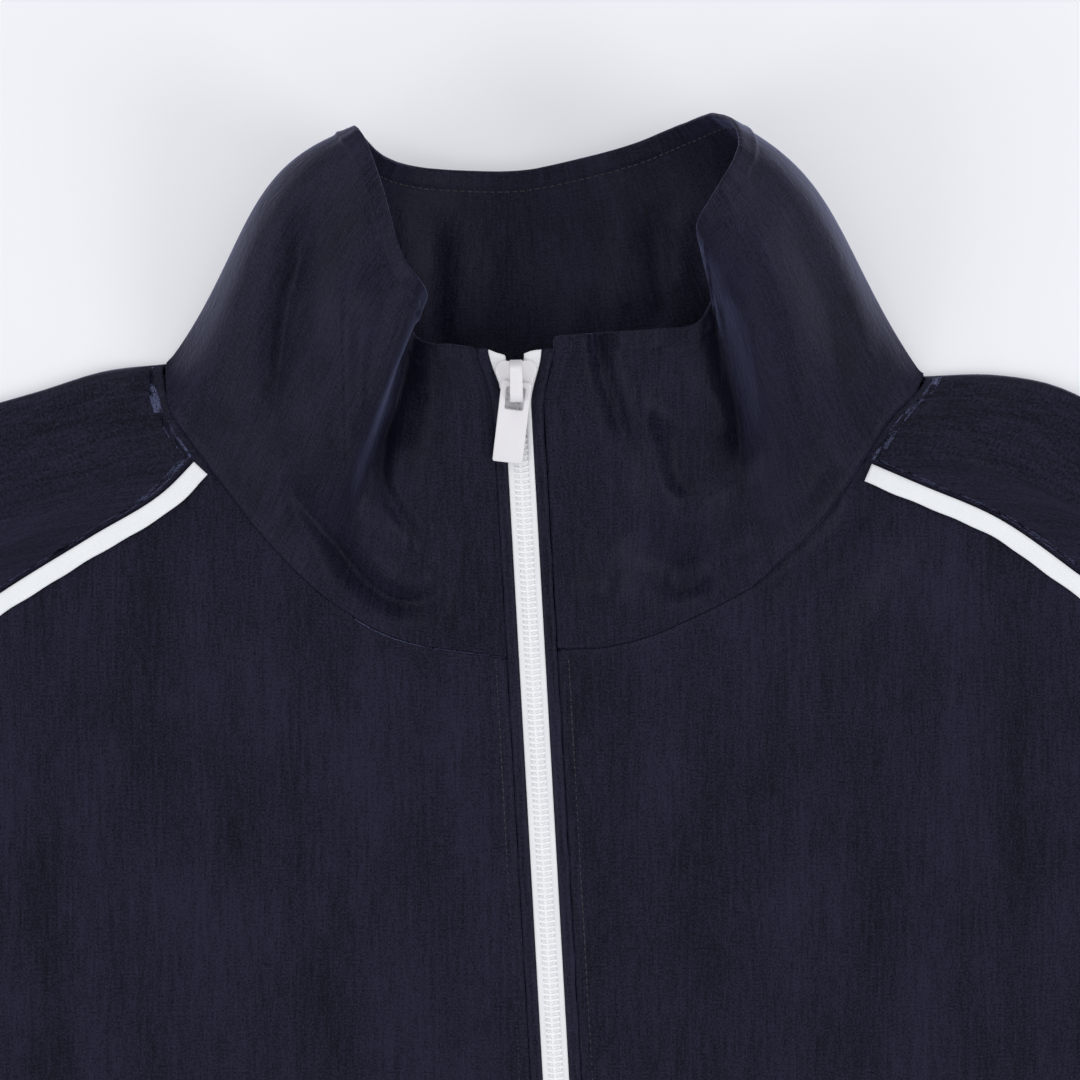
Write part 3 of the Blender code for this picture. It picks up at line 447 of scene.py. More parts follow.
def collar_places(first="zip left", last="zip right", finer=1):
    """Places round the collar between two corner stations, finer than the solid's by a factor."""
    knots = dict(zip(COLLAR, collar_knots()))
    corners = [name for name, _ in COLLAR_STRETCHES] + ["zip right"]
    places = []
    for (name, count), end in zip(COLLAR_STRETCHES, corners[1:]):
        if corners.index(first) <= corners.index(name) < corners.index(last):
            places.append(np.linspace(knots[name], knots[end], count * finer + 1)[:-1])
    return np.concatenate([*places, [knots[last]]])


def neck_seam(first, last, finer=1):
    """Plan points of the neck seam between two corner stations."""
    return stations(collar_places(first, last, finer))[:, 0:2]


def aside(line, distance):
    """A plan line moved sideways, to the left of its own direction where distance is positive."""
    way = unit(np.gradient(line, axis=0))
    return line + np.reshape(distance, (-1, 1)) * np.stack([-way[:, 1], way[:, 0]], axis=1)


def raglan(side, kind, shares):
    """Plan points of a raglan seam, from the neck to the underarm."""
    shape = SIDES[side]
    station = shape["seam"][0 if kind == "raglan" else 2]
    start = COLLAR[station][0:2]
    return through((start, *shape[kind], shape["underarm"]), shares)


def cuff_corner(side):
    """The underarm's end of the cuff, square to the last stretch of the over-arm fold."""
    shape = SIDES[side]
    outer = np.array(shape["overarm"][-1], float)
    way = unit(outer - shape["overarm"][-2])
    return outer - shape["sign"] * CUFF * np.array([-way[1], way[0]])


def overarm(side, shares):
    """Plan points of the fold along the top of a sleeve, from the neck to the cuff."""
    shape = SIDES[side]
    return through((COLLAR[shape["seam"][1]][0:2], *shape["overarm"]), shares)


def side_seam(side, shares):
    """Plan points of a side seam, from the underarm to the hem."""
    shape = SIDES[side]
    corner = (HEM_CENTRE_X + shape["sign"] * HEM_HALF, HEM_Y)
    return through((shape["underarm"], *shape["side"], corner), shares)


def upper_height(points):
    """Height of the upper layer: two layers, air that grows as 1 - exp(-distance) from the
    outline, and a bell round the neck where the collar lifts it."""
    even = np.linspace(0, 1, 40)
    outline = np.full(points.shape[:-1], np.inf)
    for side in SIDES:
        underarm = np.array([SIDES[side]["underarm"], cuff_corner(side)])
        for line in (overarm(side, even), underarm, side_seam(side, even)):
            outline = np.minimum(outline, near_line(points, line)[0])
    neck = near_line(points, neck_seam("zip left", "left fold"))[0]
    neck = np.minimum(neck, near_line(points, neck_seam("right fold", "zip right"))[0])
    air = AIR * (1 - np.exp(-outline / AIR_REACH))
    rise = NECK_RISE * np.exp(-((neck / NECK_REACH) ** 2)) * (1 - np.exp(-outline / NECK_FADE))
    return LAYERS + air + rise


def zip_x(y):
    """The zip line: a straight lean that dies away exponentially below the chest."""
    below = np.minimum(y - ZIP_STRAIGHTENS_Y, 0)
    settled = ZIP_STRAIGHTENS_OVER * (1 - np.exp(below / ZIP_STRAIGHTENS_OVER))
    return ZIP_NECK_X - ZIP_LEAN * np.maximum(y, ZIP_STRAIGHTENS_Y) + ZIP_LEAN * settled


def neck_height():
    return float(upper_height(np.array([[ZIP_NECK_X, 0.0]]))[0])


def zip_height(y):
    """Height of the cloth along the zip: the upper layer below the neck, then a straight slope."""
    y = np.asarray(y, float)
    line = np.stack([zip_x(y), np.minimum(y, 0)], axis=-1)
    slope = (COLLAR_TOP_Z + CLOTH / 2 - neck_height()) / COLLAR_FRONT
    return upper_height(line) + slope * np.maximum(y, 0)


def flare(y):
    """How far the tape ends, and what lies beside them, stand out above the fork."""
    return FLARE * smoothstep((y - FORK_Y) / (COLLAR_FRONT - FORK_Y))


class Skin:
    """A mesh gathered from grids of points, whose shared edges are merged when it is made."""

    def __init__(self):
        self.points = []
        self.faces = []
        self.uvs = []
        self.count = 0

    def grid(self, points, uv=None, wrap=False, flip=False):
        """Four-cornered cells of a (rows, columns, 3) grid. uv is in centimetres of cloth, and
        has one more column than the points where the grid wraps round."""
        rows, columns = points.shape[:2]
        index = self.count + np.arange(rows * columns).reshape(rows, columns)
        if wrap:
            index = np.concatenate([index, index[:, :1]], axis=1)
        if uv is None:
            uv = np.zeros((*index.shape, 2))
        corners = ((slice(None, -1), slice(None, -1)), (slice(1, None), slice(None, -1)),
                   (slice(1, None), slice(1, None)), (slice(None, -1), slice(1, None)))
        cells = np.stack([index[corner] for corner in corners], axis=-1).reshape(-1, 4)
        places = np.stack([uv[corner] for corner in corners], axis=-2).reshape(-1, 4, 2)
        step = -1 if flip else 1
        self.points.append(points.reshape(-1, 3))
        self.faces.append(cells[:, ::step])
        self.uvs.append(places[:, ::step])
        self.count += rows * columns
        return self

    def make(self, name, finish, body="garment"):
        """The mesh, merged, with its faces turned out, as an object that rides on a body."""
        points = (np.concatenate(self.points) + TO_ROW) * MM
        faces = np.concatenate(self.faces)
        mesh = bpy.data.meshes.new(name)
        mesh.vertices.add(len(points))
        mesh.vertices.foreach_set("co", points.ravel())
        mesh.loops.add(faces.size)
        mesh.loops.foreach_set("vertex_index", faces.ravel().astype(np.int32))
        mesh.polygons.add(len(faces))
        mesh.polygons.foreach_set("loop_start", np.arange(0, faces.size, 4, dtype=np.int32))
        layer = mesh.uv_layers.new(name="cloth")
        layer.data.foreach_set("uv", np.concatenate(self.uvs).ravel())
        mesh.update(calc_edges=True)
        form = bmesh.new()
        form.from_mesh(mesh)
        bmesh.ops.remove_doubles(form, verts=form.verts, dist=MERGE)
        bmesh.ops.recalc_face_normals(form, faces=form.faces)
        form.to_mesh(mesh)
        form.free()
        mesh.materials.append(finish)
        mesh.shade_smooth()
        obj = bpy.data.objects.new(name, mesh)
        bpy.context.scene.collection.objects.link(obj)
        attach(obj, body)
        return obj


def join(skins):
    """Several skins as one, still apart from each other."""
    joined = Skin()
    for skin in skins:
        joined.points += skin.points
        joined.faces += [faces + joined.count for faces in skin.faces]
        joined.uvs += skin.uvs
        joined.count += skin.count
    return joined


def rim(skin, outer, inner, inside, uv):
    """Closes the edge between two loops of points with a half round: the middle of the loops,
    plus cosine times half their distance, plus sine times the same towards the outside."""
    middle = (outer + inner) / 2
    half = (outer - inner) / 2
    radius = np.linalg.norm(half, axis=-1, keepdims=True)
    out = outer - inside
    out -= half * ((out * half).sum(-1, keepdims=True) / np.maximum(radius**2, 1e-9))
    out /= np.maximum(np.linalg.norm(out, axis=-1, keepdims=True), 1e-9)
    angles = np.linspace(0, math.pi, RIM_ARC + 2)[:, None, None]
    rings = middle + np.cos(angles) * half + np.sin(angles) * out * radius
    places = np.concatenate([uv, uv[:1]])
    skin.grid(rings, np.broadcast_to(places, (RIM_ARC + 2, *places.shape)), wrap=True)


def boundary(grid):
    """The points round the edge of a grid, and the points one step inside them."""
    edge = np.concatenate([grid[0, :-1], grid[:-1, -1], grid[-1, :0:-1], grid[:0:-1, 0]])
    inside = np.concatenate([grid[1, :-1], grid[:-1, -2], grid[-2, :0:-1], grid[:0:-1, 1]])
    return edge, inside


def closed_shell(outer, inner, uv):
    """Two faces of a piece of cloth with a rounded edge between them."""
    skin = Skin().grid(outer, uv).grid(inner, uv, flip=True)
    edge, inside = boundary(outer)
    rim(skin, edge, boundary(inner)[0], inside, boundary(uv)[0])
    return skin


def closed_tube(outer, inner, uv):
    """Two faces of a tube of cloth with a rounded edge at each of its ends."""
    skin = Skin().grid(outer, uv, wrap=True).grid(inner, uv, wrap=True, flip=True)
    for end, next_row in ((0, 1), (-1, -2)):
        rim(skin, outer[end], inner[end], outer[next_row], uv[end, :-1])
    return skin


def swept(sections, uv=None):
    """A closed skin over a run of closed cross sections: rows of points, with each end drawn to
    its middle."""
    first = np.broadcast_to(sections[:1].mean(axis=1, keepdims=True), sections[:1].shape)
    last = np.broadcast_to(sections[-1:].mean(axis=1, keepdims=True), sections[-1:].shape)
    rows = np.concatenate([first, sections, last])
    if uv is not None:
        uv = np.concatenate([uv[:1], uv, uv[-1:]])
    return Skin().grid(rows, uv, wrap=True)


def lengths(grid):
    """Distance from the first row and from the first column to each point of a grid, along it."""
    down = np.linalg.norm(np.diff(grid, axis=0), axis=-1)
    across = np.linalg.norm(np.diff(grid, axis=1), axis=-1)
    down = np.concatenate([np.zeros((1, grid.shape[1])), np.cumsum(down, axis=0)])
    across = np.concatenate([np.zeros((grid.shape[0], 1)), np.cumsum(across, axis=1)], axis=1)
    return down, across


def cloth_uv(grid):
    """Places in the cloth, in centimetres, from the lengths along the grid's middle lines."""
    down, across = lengths(grid)
    u = np.broadcast_to(across.mean(axis=0), across.shape)
    v = np.broadcast_to(down.mean(axis=1)[:, None], down.shape)
    return np.stack([u, v], axis=-1) / 10


def waves(along, *periods):
    """Uneven ripples between about -1 and 1: a mean of sines whose phases drift."""
    total = np.zeros_like(along, dtype=float)
    for k, period in enumerate(periods):
        drift = 1.3 * np.sin(along / (period * 2.7) + k)
        total += np.sin(2 * math.pi * along / period + drift + 2.1 * k)
    return total / len(periods)


def bell(x, width):
    """exp(-(x / width)^2)."""
    return np.exp(-((x / width) ** 2))


def collar_cloth(places, shares):
    """Outer face of the collar, its normals, and the thickness of the cloth. The middle of the
    solid's wall is followed, with creases laid on its height, and the hem's step, the dents of
    the stitch lines and the seams' ripples laid along its normal."""
    station = stations(places)
    v = np.asarray(shares, float)
    if v.ndim == 1:
        v = np.repeat(v[:, None], len(places), axis=1)
    front = np.clip(station[:, 2], 0, 1)
    seam_z = front * (upper_height(station[:, 0:2]) - CLOTH) + CLOTH / 2
    facing = 2 * front - 1
    turned = (1 - np.abs(facing)) * np.sign(station[:, 0])
    moved = aside(station[:, 0:2], -HALF_GAP) - station[:, 0:2]
    seam_xy = station[:, 0:2] + moved * facing[:, None]
    seam_xy[:, 0] -= turned * (HALF_GAP + CLOTH / 2)
    seam = np.column_stack([seam_xy, seam_z])
    grid = (1 - v[..., None]) * seam + v[..., None] * station[:, 3:6]
    grid[..., 0:2] += np.sin(np.pi * v**1.8)[..., None] * station[:, 6:8]
    grid[..., 2] += 4 * v * (1 - v) * station[:, 8]
    plan = grid[..., 0:2].copy()
    large = [(height, width, 2.0, *rest) for height, width, *rest in COLLAR_FOLDS.values()]
    folds = crease_heights(plan, large) + crease_heights(plan, COLLAR_CREASES)
    grid[..., 2] += front * smoothstep(v / SEAM_BLEND) * folds
    grid[..., 2] += (1 - front) * smoothstep(v / 0.3) * crease_heights(plan, BACK_CREASES)
    beside = grid[..., 0] - zip_x(grid[..., 1])
    spread = bell(np.abs(beside) - CLOTH_EDGE, FLARE_REACH) * front
    grid[..., 0] += np.sign(beside) * flare(grid[..., 1]) * spread
    normal = unit(np.cross(np.gradient(grid, axis=1), np.gradient(grid, axis=0)))
    upright = np.column_stack([turned, 0 * turned, facing])
    at_seam = np.exp(-v / 0.004)[..., None]
    normal = unit((1 - at_seam) * normal + at_seam * upright)

    height = np.linalg.norm(station[:, 3:6] - seam, axis=1)
    from_edge = (1 - v) * height
    from_seam = v * height
    from_zip = np.minimum(places - places_limits()[0], places_limits()[1] - places)
    along = np.broadcast_to(places, v.shape)
    hem = in_hem(from_edge, STITCH_FROM_EDGE)
    relief = 0.22 * hem
    relief -= 0.24 * bell(from_edge - STITCH_FROM_EDGE, 0.7)
    relief += 0.22 * waves(along, 8.3, 13.1, 5.2) * bell(from_edge - 3.2, 4.2)
    relief -= 0.55 * bell(from_seam, 0.9)
    relief -= 0.16 * bell(from_seam - STITCH_FROM_SEAM, 0.55)
    relief += 0.24 * waves(along, 9.1, 5.7, 14.3) * np.exp(-from_seam / 7) * (1 - bell(from_seam, 1.0))
    relief -= 0.35 * bell(from_zip, 0.7) + 0.2 * bell(from_zip - STITCH_FROM_ZIP, 0.55)
    relief += 0.16 * waves(from_seam, 10.3, 6.1) * np.exp(-from_zip / 5) * (1 - bell(from_zip, 1.0))
    outer = grid + normal * (CLOTH / 2 + relief)[..., None]
    return outer, normal, thickness(hem)


def in_hem(distance, depth):
    """1 inside a folded hem, 0 beyond it, with a soft step just past its stitches."""
    return smoothstep((depth + HEM_PAST_STITCH - distance) / HEM_STEP)


def thickness(hem):
    """Thickness of the cloth, from one layer outside a hem to the folded hem's."""
    return SHELL + (HEM_SHELL - SHELL) * hem


def places_limits():
    """The places of the collar's two ends."""
    knots = collar_knots()
    return knots[0], knots[-1]


def make_collar(finish):
    """The collar as one shell, from the neck seam to its top edge."""
    places = collar_places(finer=max(2, round(5 * DETAIL)))
    rows = max(40, round(118 * DETAIL))
    low = np.array([0, 0.35, 0.8, 1.3, 2, 3]) / 100
    shares = np.concatenate([low, np.linspace(0.042, 0.93, rows), np.linspace(0.94, 1, 10)])
    outer, normal, thick = collar_cloth(places, shares)
    inner = outer - normal * thick[..., None]
    outer[..., 2] = np.maximum(outer[..., 2], 0)
    inner[..., 2] = np.maximum(inner[..., 2], SHELL)
    return closed_shell(outer, inner, cloth_uv(outer)).make("collar_cloth", finish)


def panel_height(points):
    """Height of the upper layer with its soft folds, and the dents and ripples at its seams."""
    height = upper_height(points) + crease_heights(points, PANEL_FOLDS)
    x, y = points[..., 0], points[..., 1]
    height += 0.22 * np.sin(x / 19 + 0.8 * np.sin(y / 61)) * np.sin(y / 43 + x / 97)
    neck, along = near_line(points, neck_seam("zip left", "left fold", 2))
    other, along_other = near_line(points, neck_seam("right fold", "zip right", 2))
    along = np.where(other < neck, 60 + 110 * along_other, 110 * along)
    neck = np.minimum(neck, other)
    height -= 0.5 * bell(neck, 0.9)
    height += 0.26 * waves(along, 8.7, 13.9, 5.9) * np.exp(-neck / 8) * (1 - bell(neck, 1.1))
    for side in SIDES:
        line = raglan(side, "raglan", np.linspace(0, 1, 60))
        distance, share = near_line(points, line)
        height -= 0.45 * bell(distance, 1.0)
        ripple = waves(260 * share, 12.3, 7.7, 19.0)
        height += 0.24 * ripple * np.exp(-distance / 7) * (1 - bell(distance, 1.1))
    beside = np.abs(x - zip_x(y)) - CLOTH_EDGE
    height -= 0.35 * bell(beside, 0.7) + 0.2 * bell(beside - STITCH_FROM_ZIP, 0.55)
    height += 0.14 * waves(y, 11.3, 7.1, 17.7) * np.exp(-np.abs(beside) / 6) * (1 - bell(beside, 1.0))
    from_hem = y - HEM_Y
    height -= 0.22 * bell(from_hem - HEM_DEPTH, 0.9)
    height += 0.2 * waves(x, 15.1, 9.7, 23.0) * bell(from_hem - HEM_DEPTH, 9.0)
    return height


def patch(top, bottom, inner, outer):
    """Plan grid spanned between four edges, by blending opposite edges and taking off the
    blend of the corners."""
    r = np.linspace(0, 1, len(inner))[:, None, None]
    c = np.linspace(0, 1, len(top))[None, :, None]
    rows = (1 - r) * top[None] + r * bottom[None]
    columns = (1 - c) * inner[:, None] + c * outer[:, None]
    upper_corners = (1 - c) * top[0] + c * top[-1]
    lower_corners = (1 - c) * bottom[0] + c * bottom[-1]
    return rows + columns - (1 - r) * upper_corners - r * lower_corners


def seam_shares(finer):
    """The solids' places along a raglan seam, and between them."""
    return np.linspace(0, 1, 15 * finer + 1) ** 1.3


def front_plan(side, finer):
    """Plan grid of a front, from the zip to the raglan seam and the side seam."""
    shape = SIDES[side]
    sign = shape["sign"]
    if side == "left":
        top = neck_seam("zip left", shape["seam"][0], finer)
    else:
        top = neck_seam(shape["seam"][0], "zip right", finer)[::-1]
    top = aside(top, -sign * HALF_GAP)
    upper = aside(raglan(side, "raglan", seam_shares(finer)), -sign * HALF_GAP)
    down = np.linspace(0, 1, 6 * finer + 1)[1:]
    outer = np.concatenate([upper, side_seam(side, down)])
    corner = raglan(side, "raglan", [0])[0]
    inward = (top[-2] + upper[1]) / 2 - corner
    outer[0] = corner + HALF_GAP * unit(inward)
    top[-1] = outer[0]
    level = [ZIP_KNEE_Y * seam_shares(finer), ZIP_KNEE_Y + (HEM_Y - ZIP_KNEE_Y) * down]
    level = np.concatenate(level)
    level[0] = top[0, 1]
    inner = np.column_stack([zip_x(level) + sign * CLOTH_EDGE, level])
    top[0] = inner[0]
    bottom = np.linspace(inner[-1], outer[-1], len(top))
    return patch(top, bottom, inner, outer)


def edged(plan):
    """A plan grid with more rows and columns close to its four edges, for the rounding there."""
    near = np.array([0, 0.08, 0.22, 0.45])
    rows = np.arange(plan.shape[0], dtype=float)
    columns = np.arange(plan.shape[1], dtype=float)
    rows = np.concatenate([near, rows[1:-1], rows[-1] - near[::-1]])
    columns = np.concatenate([near, columns[1:-1], columns[-1] - near[::-1]])
    r = np.clip(np.floor(rows).astype(int), 0, plan.shape[0] - 2)
    c = np.clip(np.floor(columns).astype(int), 0, plan.shape[1] - 2)
    fr = (rows - r)[:, None, None]
    fc = (columns - c)[None, :, None]
    low = plan[r][:, c] * (1 - fc) + plan[r][:, c + 1] * fc
    high = plan[r + 1][:, c] * (1 - fc) + plan[r + 1][:, c + 1] * fc
    return low * (1 - fr) + high * fr


def make_front(side, finish):
    """A front panel: its plan grid at panel_height, one layer thick, and two at the hem."""
    plan = edged(front_plan(side, max(2, round(8 * DETAIL))))
    outer = np.concatenate([plan, panel_height(plan)[..., None]], axis=-1)
    hem = in_hem(plan[..., 1] - HEM_Y, HEM_DEPTH)
    outer[..., 2] += 0.2 * hem
    inner = outer - thickness(hem)[..., None] * np.array([0, 0, 1])
    uv = plan / 10 * np.array([1.0, -1.0])
    return closed_shell(outer, inner, uv).make(f"front_{side}_cloth", finish)


def make_back(finish):
    """The back panel, flat on the floor below and with shallow folds above."""
    finer = max(1, round(4 * DETAIL))
    edges = {}
    for side, shape in SIDES.items():
        upper = aside(raglan(side, "back raglan", seam_shares(finer)), -shape["sign"] * HALF_GAP)
        lower = side_seam(side, np.linspace(0, 1, 6 * finer + 1))[1:]
        edges[side] = np.concatenate([upper, lower])
    top = aside(neck_seam("back left", "back right", finer), -HALF_GAP)
    for side, end in (("left", 0), ("right", -1)):
        edges[side][0] = top[end]
    bottom = np.linspace(edges["left"][-1], edges["right"][-1], len(top))
    plan = edged(patch(top, bottom, edges["left"], edges["right"]))
    hem = in_hem(plan[..., 1] - HEM_Y, HEM_DEPTH)
    top_z = thickness(hem) + crease_heights(plan, HIDDEN_FOLDS)
    upper = np.concatenate([plan, top_z[..., None]], axis=-1)
    lower = np.concatenate([plan, 0 * top_z[..., None]], axis=-1)
    return closed_shell(upper, lower, plan / 10).make("back_cloth", finish)


def sleeve_end(side, layer, finer):
    """Plan points of a sleeve's end, from the over-arm fold along the neck and down the raglan."""
    shape = SIDES[side]
    front, fold, back = shape["seam"]
    station = front if layer == "raglan" else back
    names = list(COLLAR)
    forward = names.index(fold) < names.index(station)
    neck = neck_seam(fold, station, finer) if forward else neck_seam(station, fold, finer)[::-1]
    line = np.concatenate([neck, raglan(side, layer, seam_shares(finer))[1:]])
    moved = aside(line, shape["sign"] * HALF_GAP)
    corner = len(neck) - 1
    inward = (line[corner - 1] + line[corner + 1]) / 2 - line[corner]
    moved[corner] = line[corner] + SEAM_GAP * unit(inward)
    moved[0] = line[0] + (shape["sign"] * HALF_GAP, 0)
    moved[-1] = line[-1] + (shape["sign"] * 2 * HALF_GAP, 0)
    return moved


def sleeve_plan(side, layer, across, sections):
    """Plan grid of one layer of a sleeve: its end's curve, whose bow off the straight line
    between its ends dies away as (1 - share)^2.2 towards the cuff."""
    end = sleeve_end(side, layer, 6)
    knots = chord_knots(end) / chord_knots(end)[-1]
    end = np.column_stack([np.interp(across, knots, end[:, 0]), np.interp(across, knots, end[:, 1])])
    s = np.linspace(0, 1, sections) ** SLEEVE_CROWDING
    s = np.concatenate([[0, 0.0008, 0.0025, 0.006], s[1:]])
    upper = overarm(side, s)
    upper[0] = end[0]
    lower = end[-1] + s[:, None] * (cuff_corner(side) - end[-1])
    share = across[None, :, None]
    straight = (1 - share) * upper[:, None] + share * lower[:, None]
    bow = end[None] - ((1 - share) * end[0] + share * end[-1])
    return straight + ((1 - s) ** SLEEVE_BEND_FADE)[:, None, None] * bow


def with_corner(shares, side, layer):
    """Shares across a sleeve's end, with three more at the corner between its neck and raglan."""
    end = sleeve_end(side, layer, 6)
    station = COLLAR[SIDES[side]["seam"][0 if layer == "raglan" else 2]][0:2]
    knots = chord_knots(end) / chord_knots(end)[-1]
    corner = knots[np.linalg.norm(end - station, axis=1).argmin()]
    return np.sort(np.concatenate([shares, corner + np.array([-0.003, 0, 0.003])]))


def sleeve_face(side, sections, inset):
    """Points round a flattened sleeve: upper layer, underarm fold, lower layer, over-arm fold.
    Near each fold the heights follow a quarter of an ellipse. inset moves them into the cloth."""
    width = max(24, round(64 * DETAIL))
    edge = np.array([0, 0.001, 0.003, 0.007, 0.013])
    even = np.concatenate([edge, np.linspace(0.02, 0.98, width), 1 - edge[::-1]])
    sides = []
    for layer, is_upper in (("raglan", True), ("back raglan", False)):
        across = with_corner(even, side, layer)
        plan = sleeve_plan(side, layer, across, sections)
        span = np.linalg.norm(plan[:, -1] - plan[:, 0], axis=1)[:, None]
        from_fold = np.minimum(across, 1 - across) * span
        way = ((plan[:, -1] - plan[:, 0]) / span)[:, None]
        inward = np.where(across < 0.5, 1, -1)[None, :, None] * way
        close = bell(from_fold, 3.0)[..., None]
        plan = plan + inset * close * inward
        round_off = np.sqrt(1 - (1 - np.clip(from_fold / (LAYERS / 2), 0, 1)) ** 2)
        far = panel_height(plan) - inset if is_upper else np.full(plan.shape[:2], float(inset))
        height = LAYERS / 2 + (far - LAYERS / 2) * round_off
        sides.append(np.concatenate([plan, height[..., None]], axis=-1))
    return np.concatenate([sides[0], sides[1][:, -2:0:-1]], axis=1)


def make_sleeve(side, finish):
    """A sleeve: a flattened tube of cloth, open at the armhole and at the cuff."""
    sections = max(40, round(120 * DETAIL))
    outer = sleeve_face(side, sections, 0)
    inner = sleeve_face(side, sections, SHELL)
    looped = np.concatenate([outer, outer[:, :1]], axis=1)
    return closed_tube(outer, inner, cloth_uv(looped)).make(f"sleeve_{side}_cloth", finish)


def make_piping(side, finish):
    """Flat piping: a section that rises out of the seam, lies flat and ends in a free edge just
    over the front, carried along the raglan seam with small ripples."""
    sign = SIDES[side]["sign"]
    count = max(80, round(260 * DETAIL))
    line = raglan(side, "raglan", np.linspace(0.011, 0.99, count) ** 1.1)
    along = chord_knots(line)
    across = np.array([0.15, 0.5, 1.1, 2.0, 3.1, 4.1, 4.6, 4.85, 4.85, 4.6, 4.1, 3.1, 2.0, 1.1, 0.5, 0.15])
    rise = np.array([0.35, 0.75, 0.98, 1.04, 1.06, 1.05, 0.98, 0.8, 0.6, 0.42, 0.36, 0.34, 0.3, 0.2,
                     0.0, 0.0])
    uneven = 1 + 0.035 * waves(along, 23.0, 11.0)[:, None]
    plan = np.stack([aside(line, -sign * offset * uneven) for offset in across], axis=1)
    base = upper_height(plan) + crease_heights(plan, PANEL_FOLDS)
    ripple = 0.16 * waves(along, 9.3, 5.1, 15.7)[:, None] * smoothstep(across / 2)
    free = 0.14 * waves(along, 17.0, 8.1)[:, None] * smoothstep((across - 3) / 1.8)
    sections = np.concatenate([plan, (base + rise + np.maximum(ripple + free, -0.25))[..., None]], axis=-1)
    around = np.concatenate([across, across[:1]])
    u, v = np.meshgrid(around / 10, along / 10)
    return swept(sections, np.stack([u, v], axis=-1)).make(f"piping_{side}_tape", finish)


def zip_levels(top, bottom, step):
    return np.linspace(top, bottom, max(2, round((top - bottom) / step * DETAIL)))


def zip_sections(y, offsets, heights):
    """Sections across the zip at levels y: offsets from its line, and heights over its cloth."""
    x = zip_x(y)[:, None] + offsets
    z = zip_height(y)[:, None] + heights
    return np.stack([x, np.broadcast_to(y[:, None], x.shape), z], axis=-1)


def section_uv(y, offsets):
    around = np.concatenate([offsets, offsets[:, :1]], axis=1)
    v = np.broadcast_to(y[:, None] / 10, around.shape)
    return np.stack([around / 10, v], axis=-1)


def make_lip(side, finish):
    """The folded lip of cloth beside the zip: a low rounded section with a flat base."""
    sign = SIDES[side]["sign"]
    y = zip_levels(COLLAR_FRONT - 0.6, HEM_Y, 1.6)
    share = np.array([0, 0, 0.05, 0.16, 0.34, 0.55, 0.76, 0.92, 1.0, 1.0])
    rise = np.array([-1.2, -0.35, 0.02, 0.24, 0.38, 0.4, 0.32, 0.08, -0.35, -1.2])
    width = LIP_WIDTH + 0.12 * waves(y, 21.0, 13.0)[:, None]
    offsets = sign * (CHAIN_HALF + SEAM_GAP / 2 + share * width + flare(y)[:, None])
    ripple = 0.1 * waves(y, 13.7, 7.3, 23.0)[:, None] * np.sin(np.pi * share)
    sections = zip_sections(y, offsets, rise + ripple)
    return swept(sections, section_uv(y, offsets)).make(f"lip_{side}_fold", finish)


def make_tape(finish):
    """The zip's woven tape under the coil, its two bindings beside it, and its two ends, which
    part above the slider and fray a little at their tops."""
    y = zip_levels(FORK_Y + 2, HEM_Y, 2.0)
    skins = []
    flat = np.array([-CHAIN_HALF, 0, CHAIN_HALF, CHAIN_HALF, 0, -CHAIN_HALF])
    rise = np.array([-0.24, -0.18, -0.24, -1.3, -1.3, -1.3])
    offsets = np.broadcast_to(flat, (len(y), len(flat)))
    skins.append(swept(zip_sections(y, offsets, rise), section_uv(y, offsets)))
    for sign in (-1, 1):
        share = np.array([0, 0.12, 0.4, 0.75, 0.95, 1, 0.9, 0.4, 0.05])
        bound_rise = np.array([-0.1, 0.12, 0.2, 0.2, 0.08, -0.25, -0.6, -0.6, -0.4])
        offsets = sign * (CHAIN_HALF - 1.55 * (1 - share))
        offsets = np.broadcast_to(offsets, (len(y), len(share)))
        edge = 0.05 * waves(y, 1.9, 5.3)[:, None] * (bound_rise > 0)
        skins.append(swept(zip_sections(y, offsets, bound_rise + edge), section_uv(y, offsets)))
    for sign in (-1, 1):
        top = 76.2 if sign < 0 else 76.0
        v = np.linspace(FORK_Y - 4, top, 40)
        share = np.array([0, 0.06, 0.3, 0.6, 0.94, 1, 0.94, 0.6, 0.3, 0.06])
        thick = np.array([0, 0.22, 0.28, 0.28, 0.22, 0, -0.22, -0.25, -0.25, -0.22])
        width = CHAIN_HALF + (TAPE - CHAIN_HALF) * smoothstep((v - FORK_Y) / 15)
        outer = CHAIN_HALF + flare(v)
        width = np.minimum(width, outer - 0.3)
        offsets = sign * (outer[:, None] - share * width[:, None])
        slant = share * (1.7 if sign < 0 else 0.6) * smoothstep((v[:, None] - 70) / 6)
        fray = 0.28 * np.sin(share * 23 + sign) * smoothstep((v[:, None] - 74) / 2)
        sections = zip_sections(v, offsets, thick - 0.1 + 0.25 * smoothstep((v[:, None] - 70) / 5))
        sections[..., 1] += fray - slant
        skins.append(swept(sections, section_uv(v, offsets)))
    return join(skins).make("zip_tape", finish)


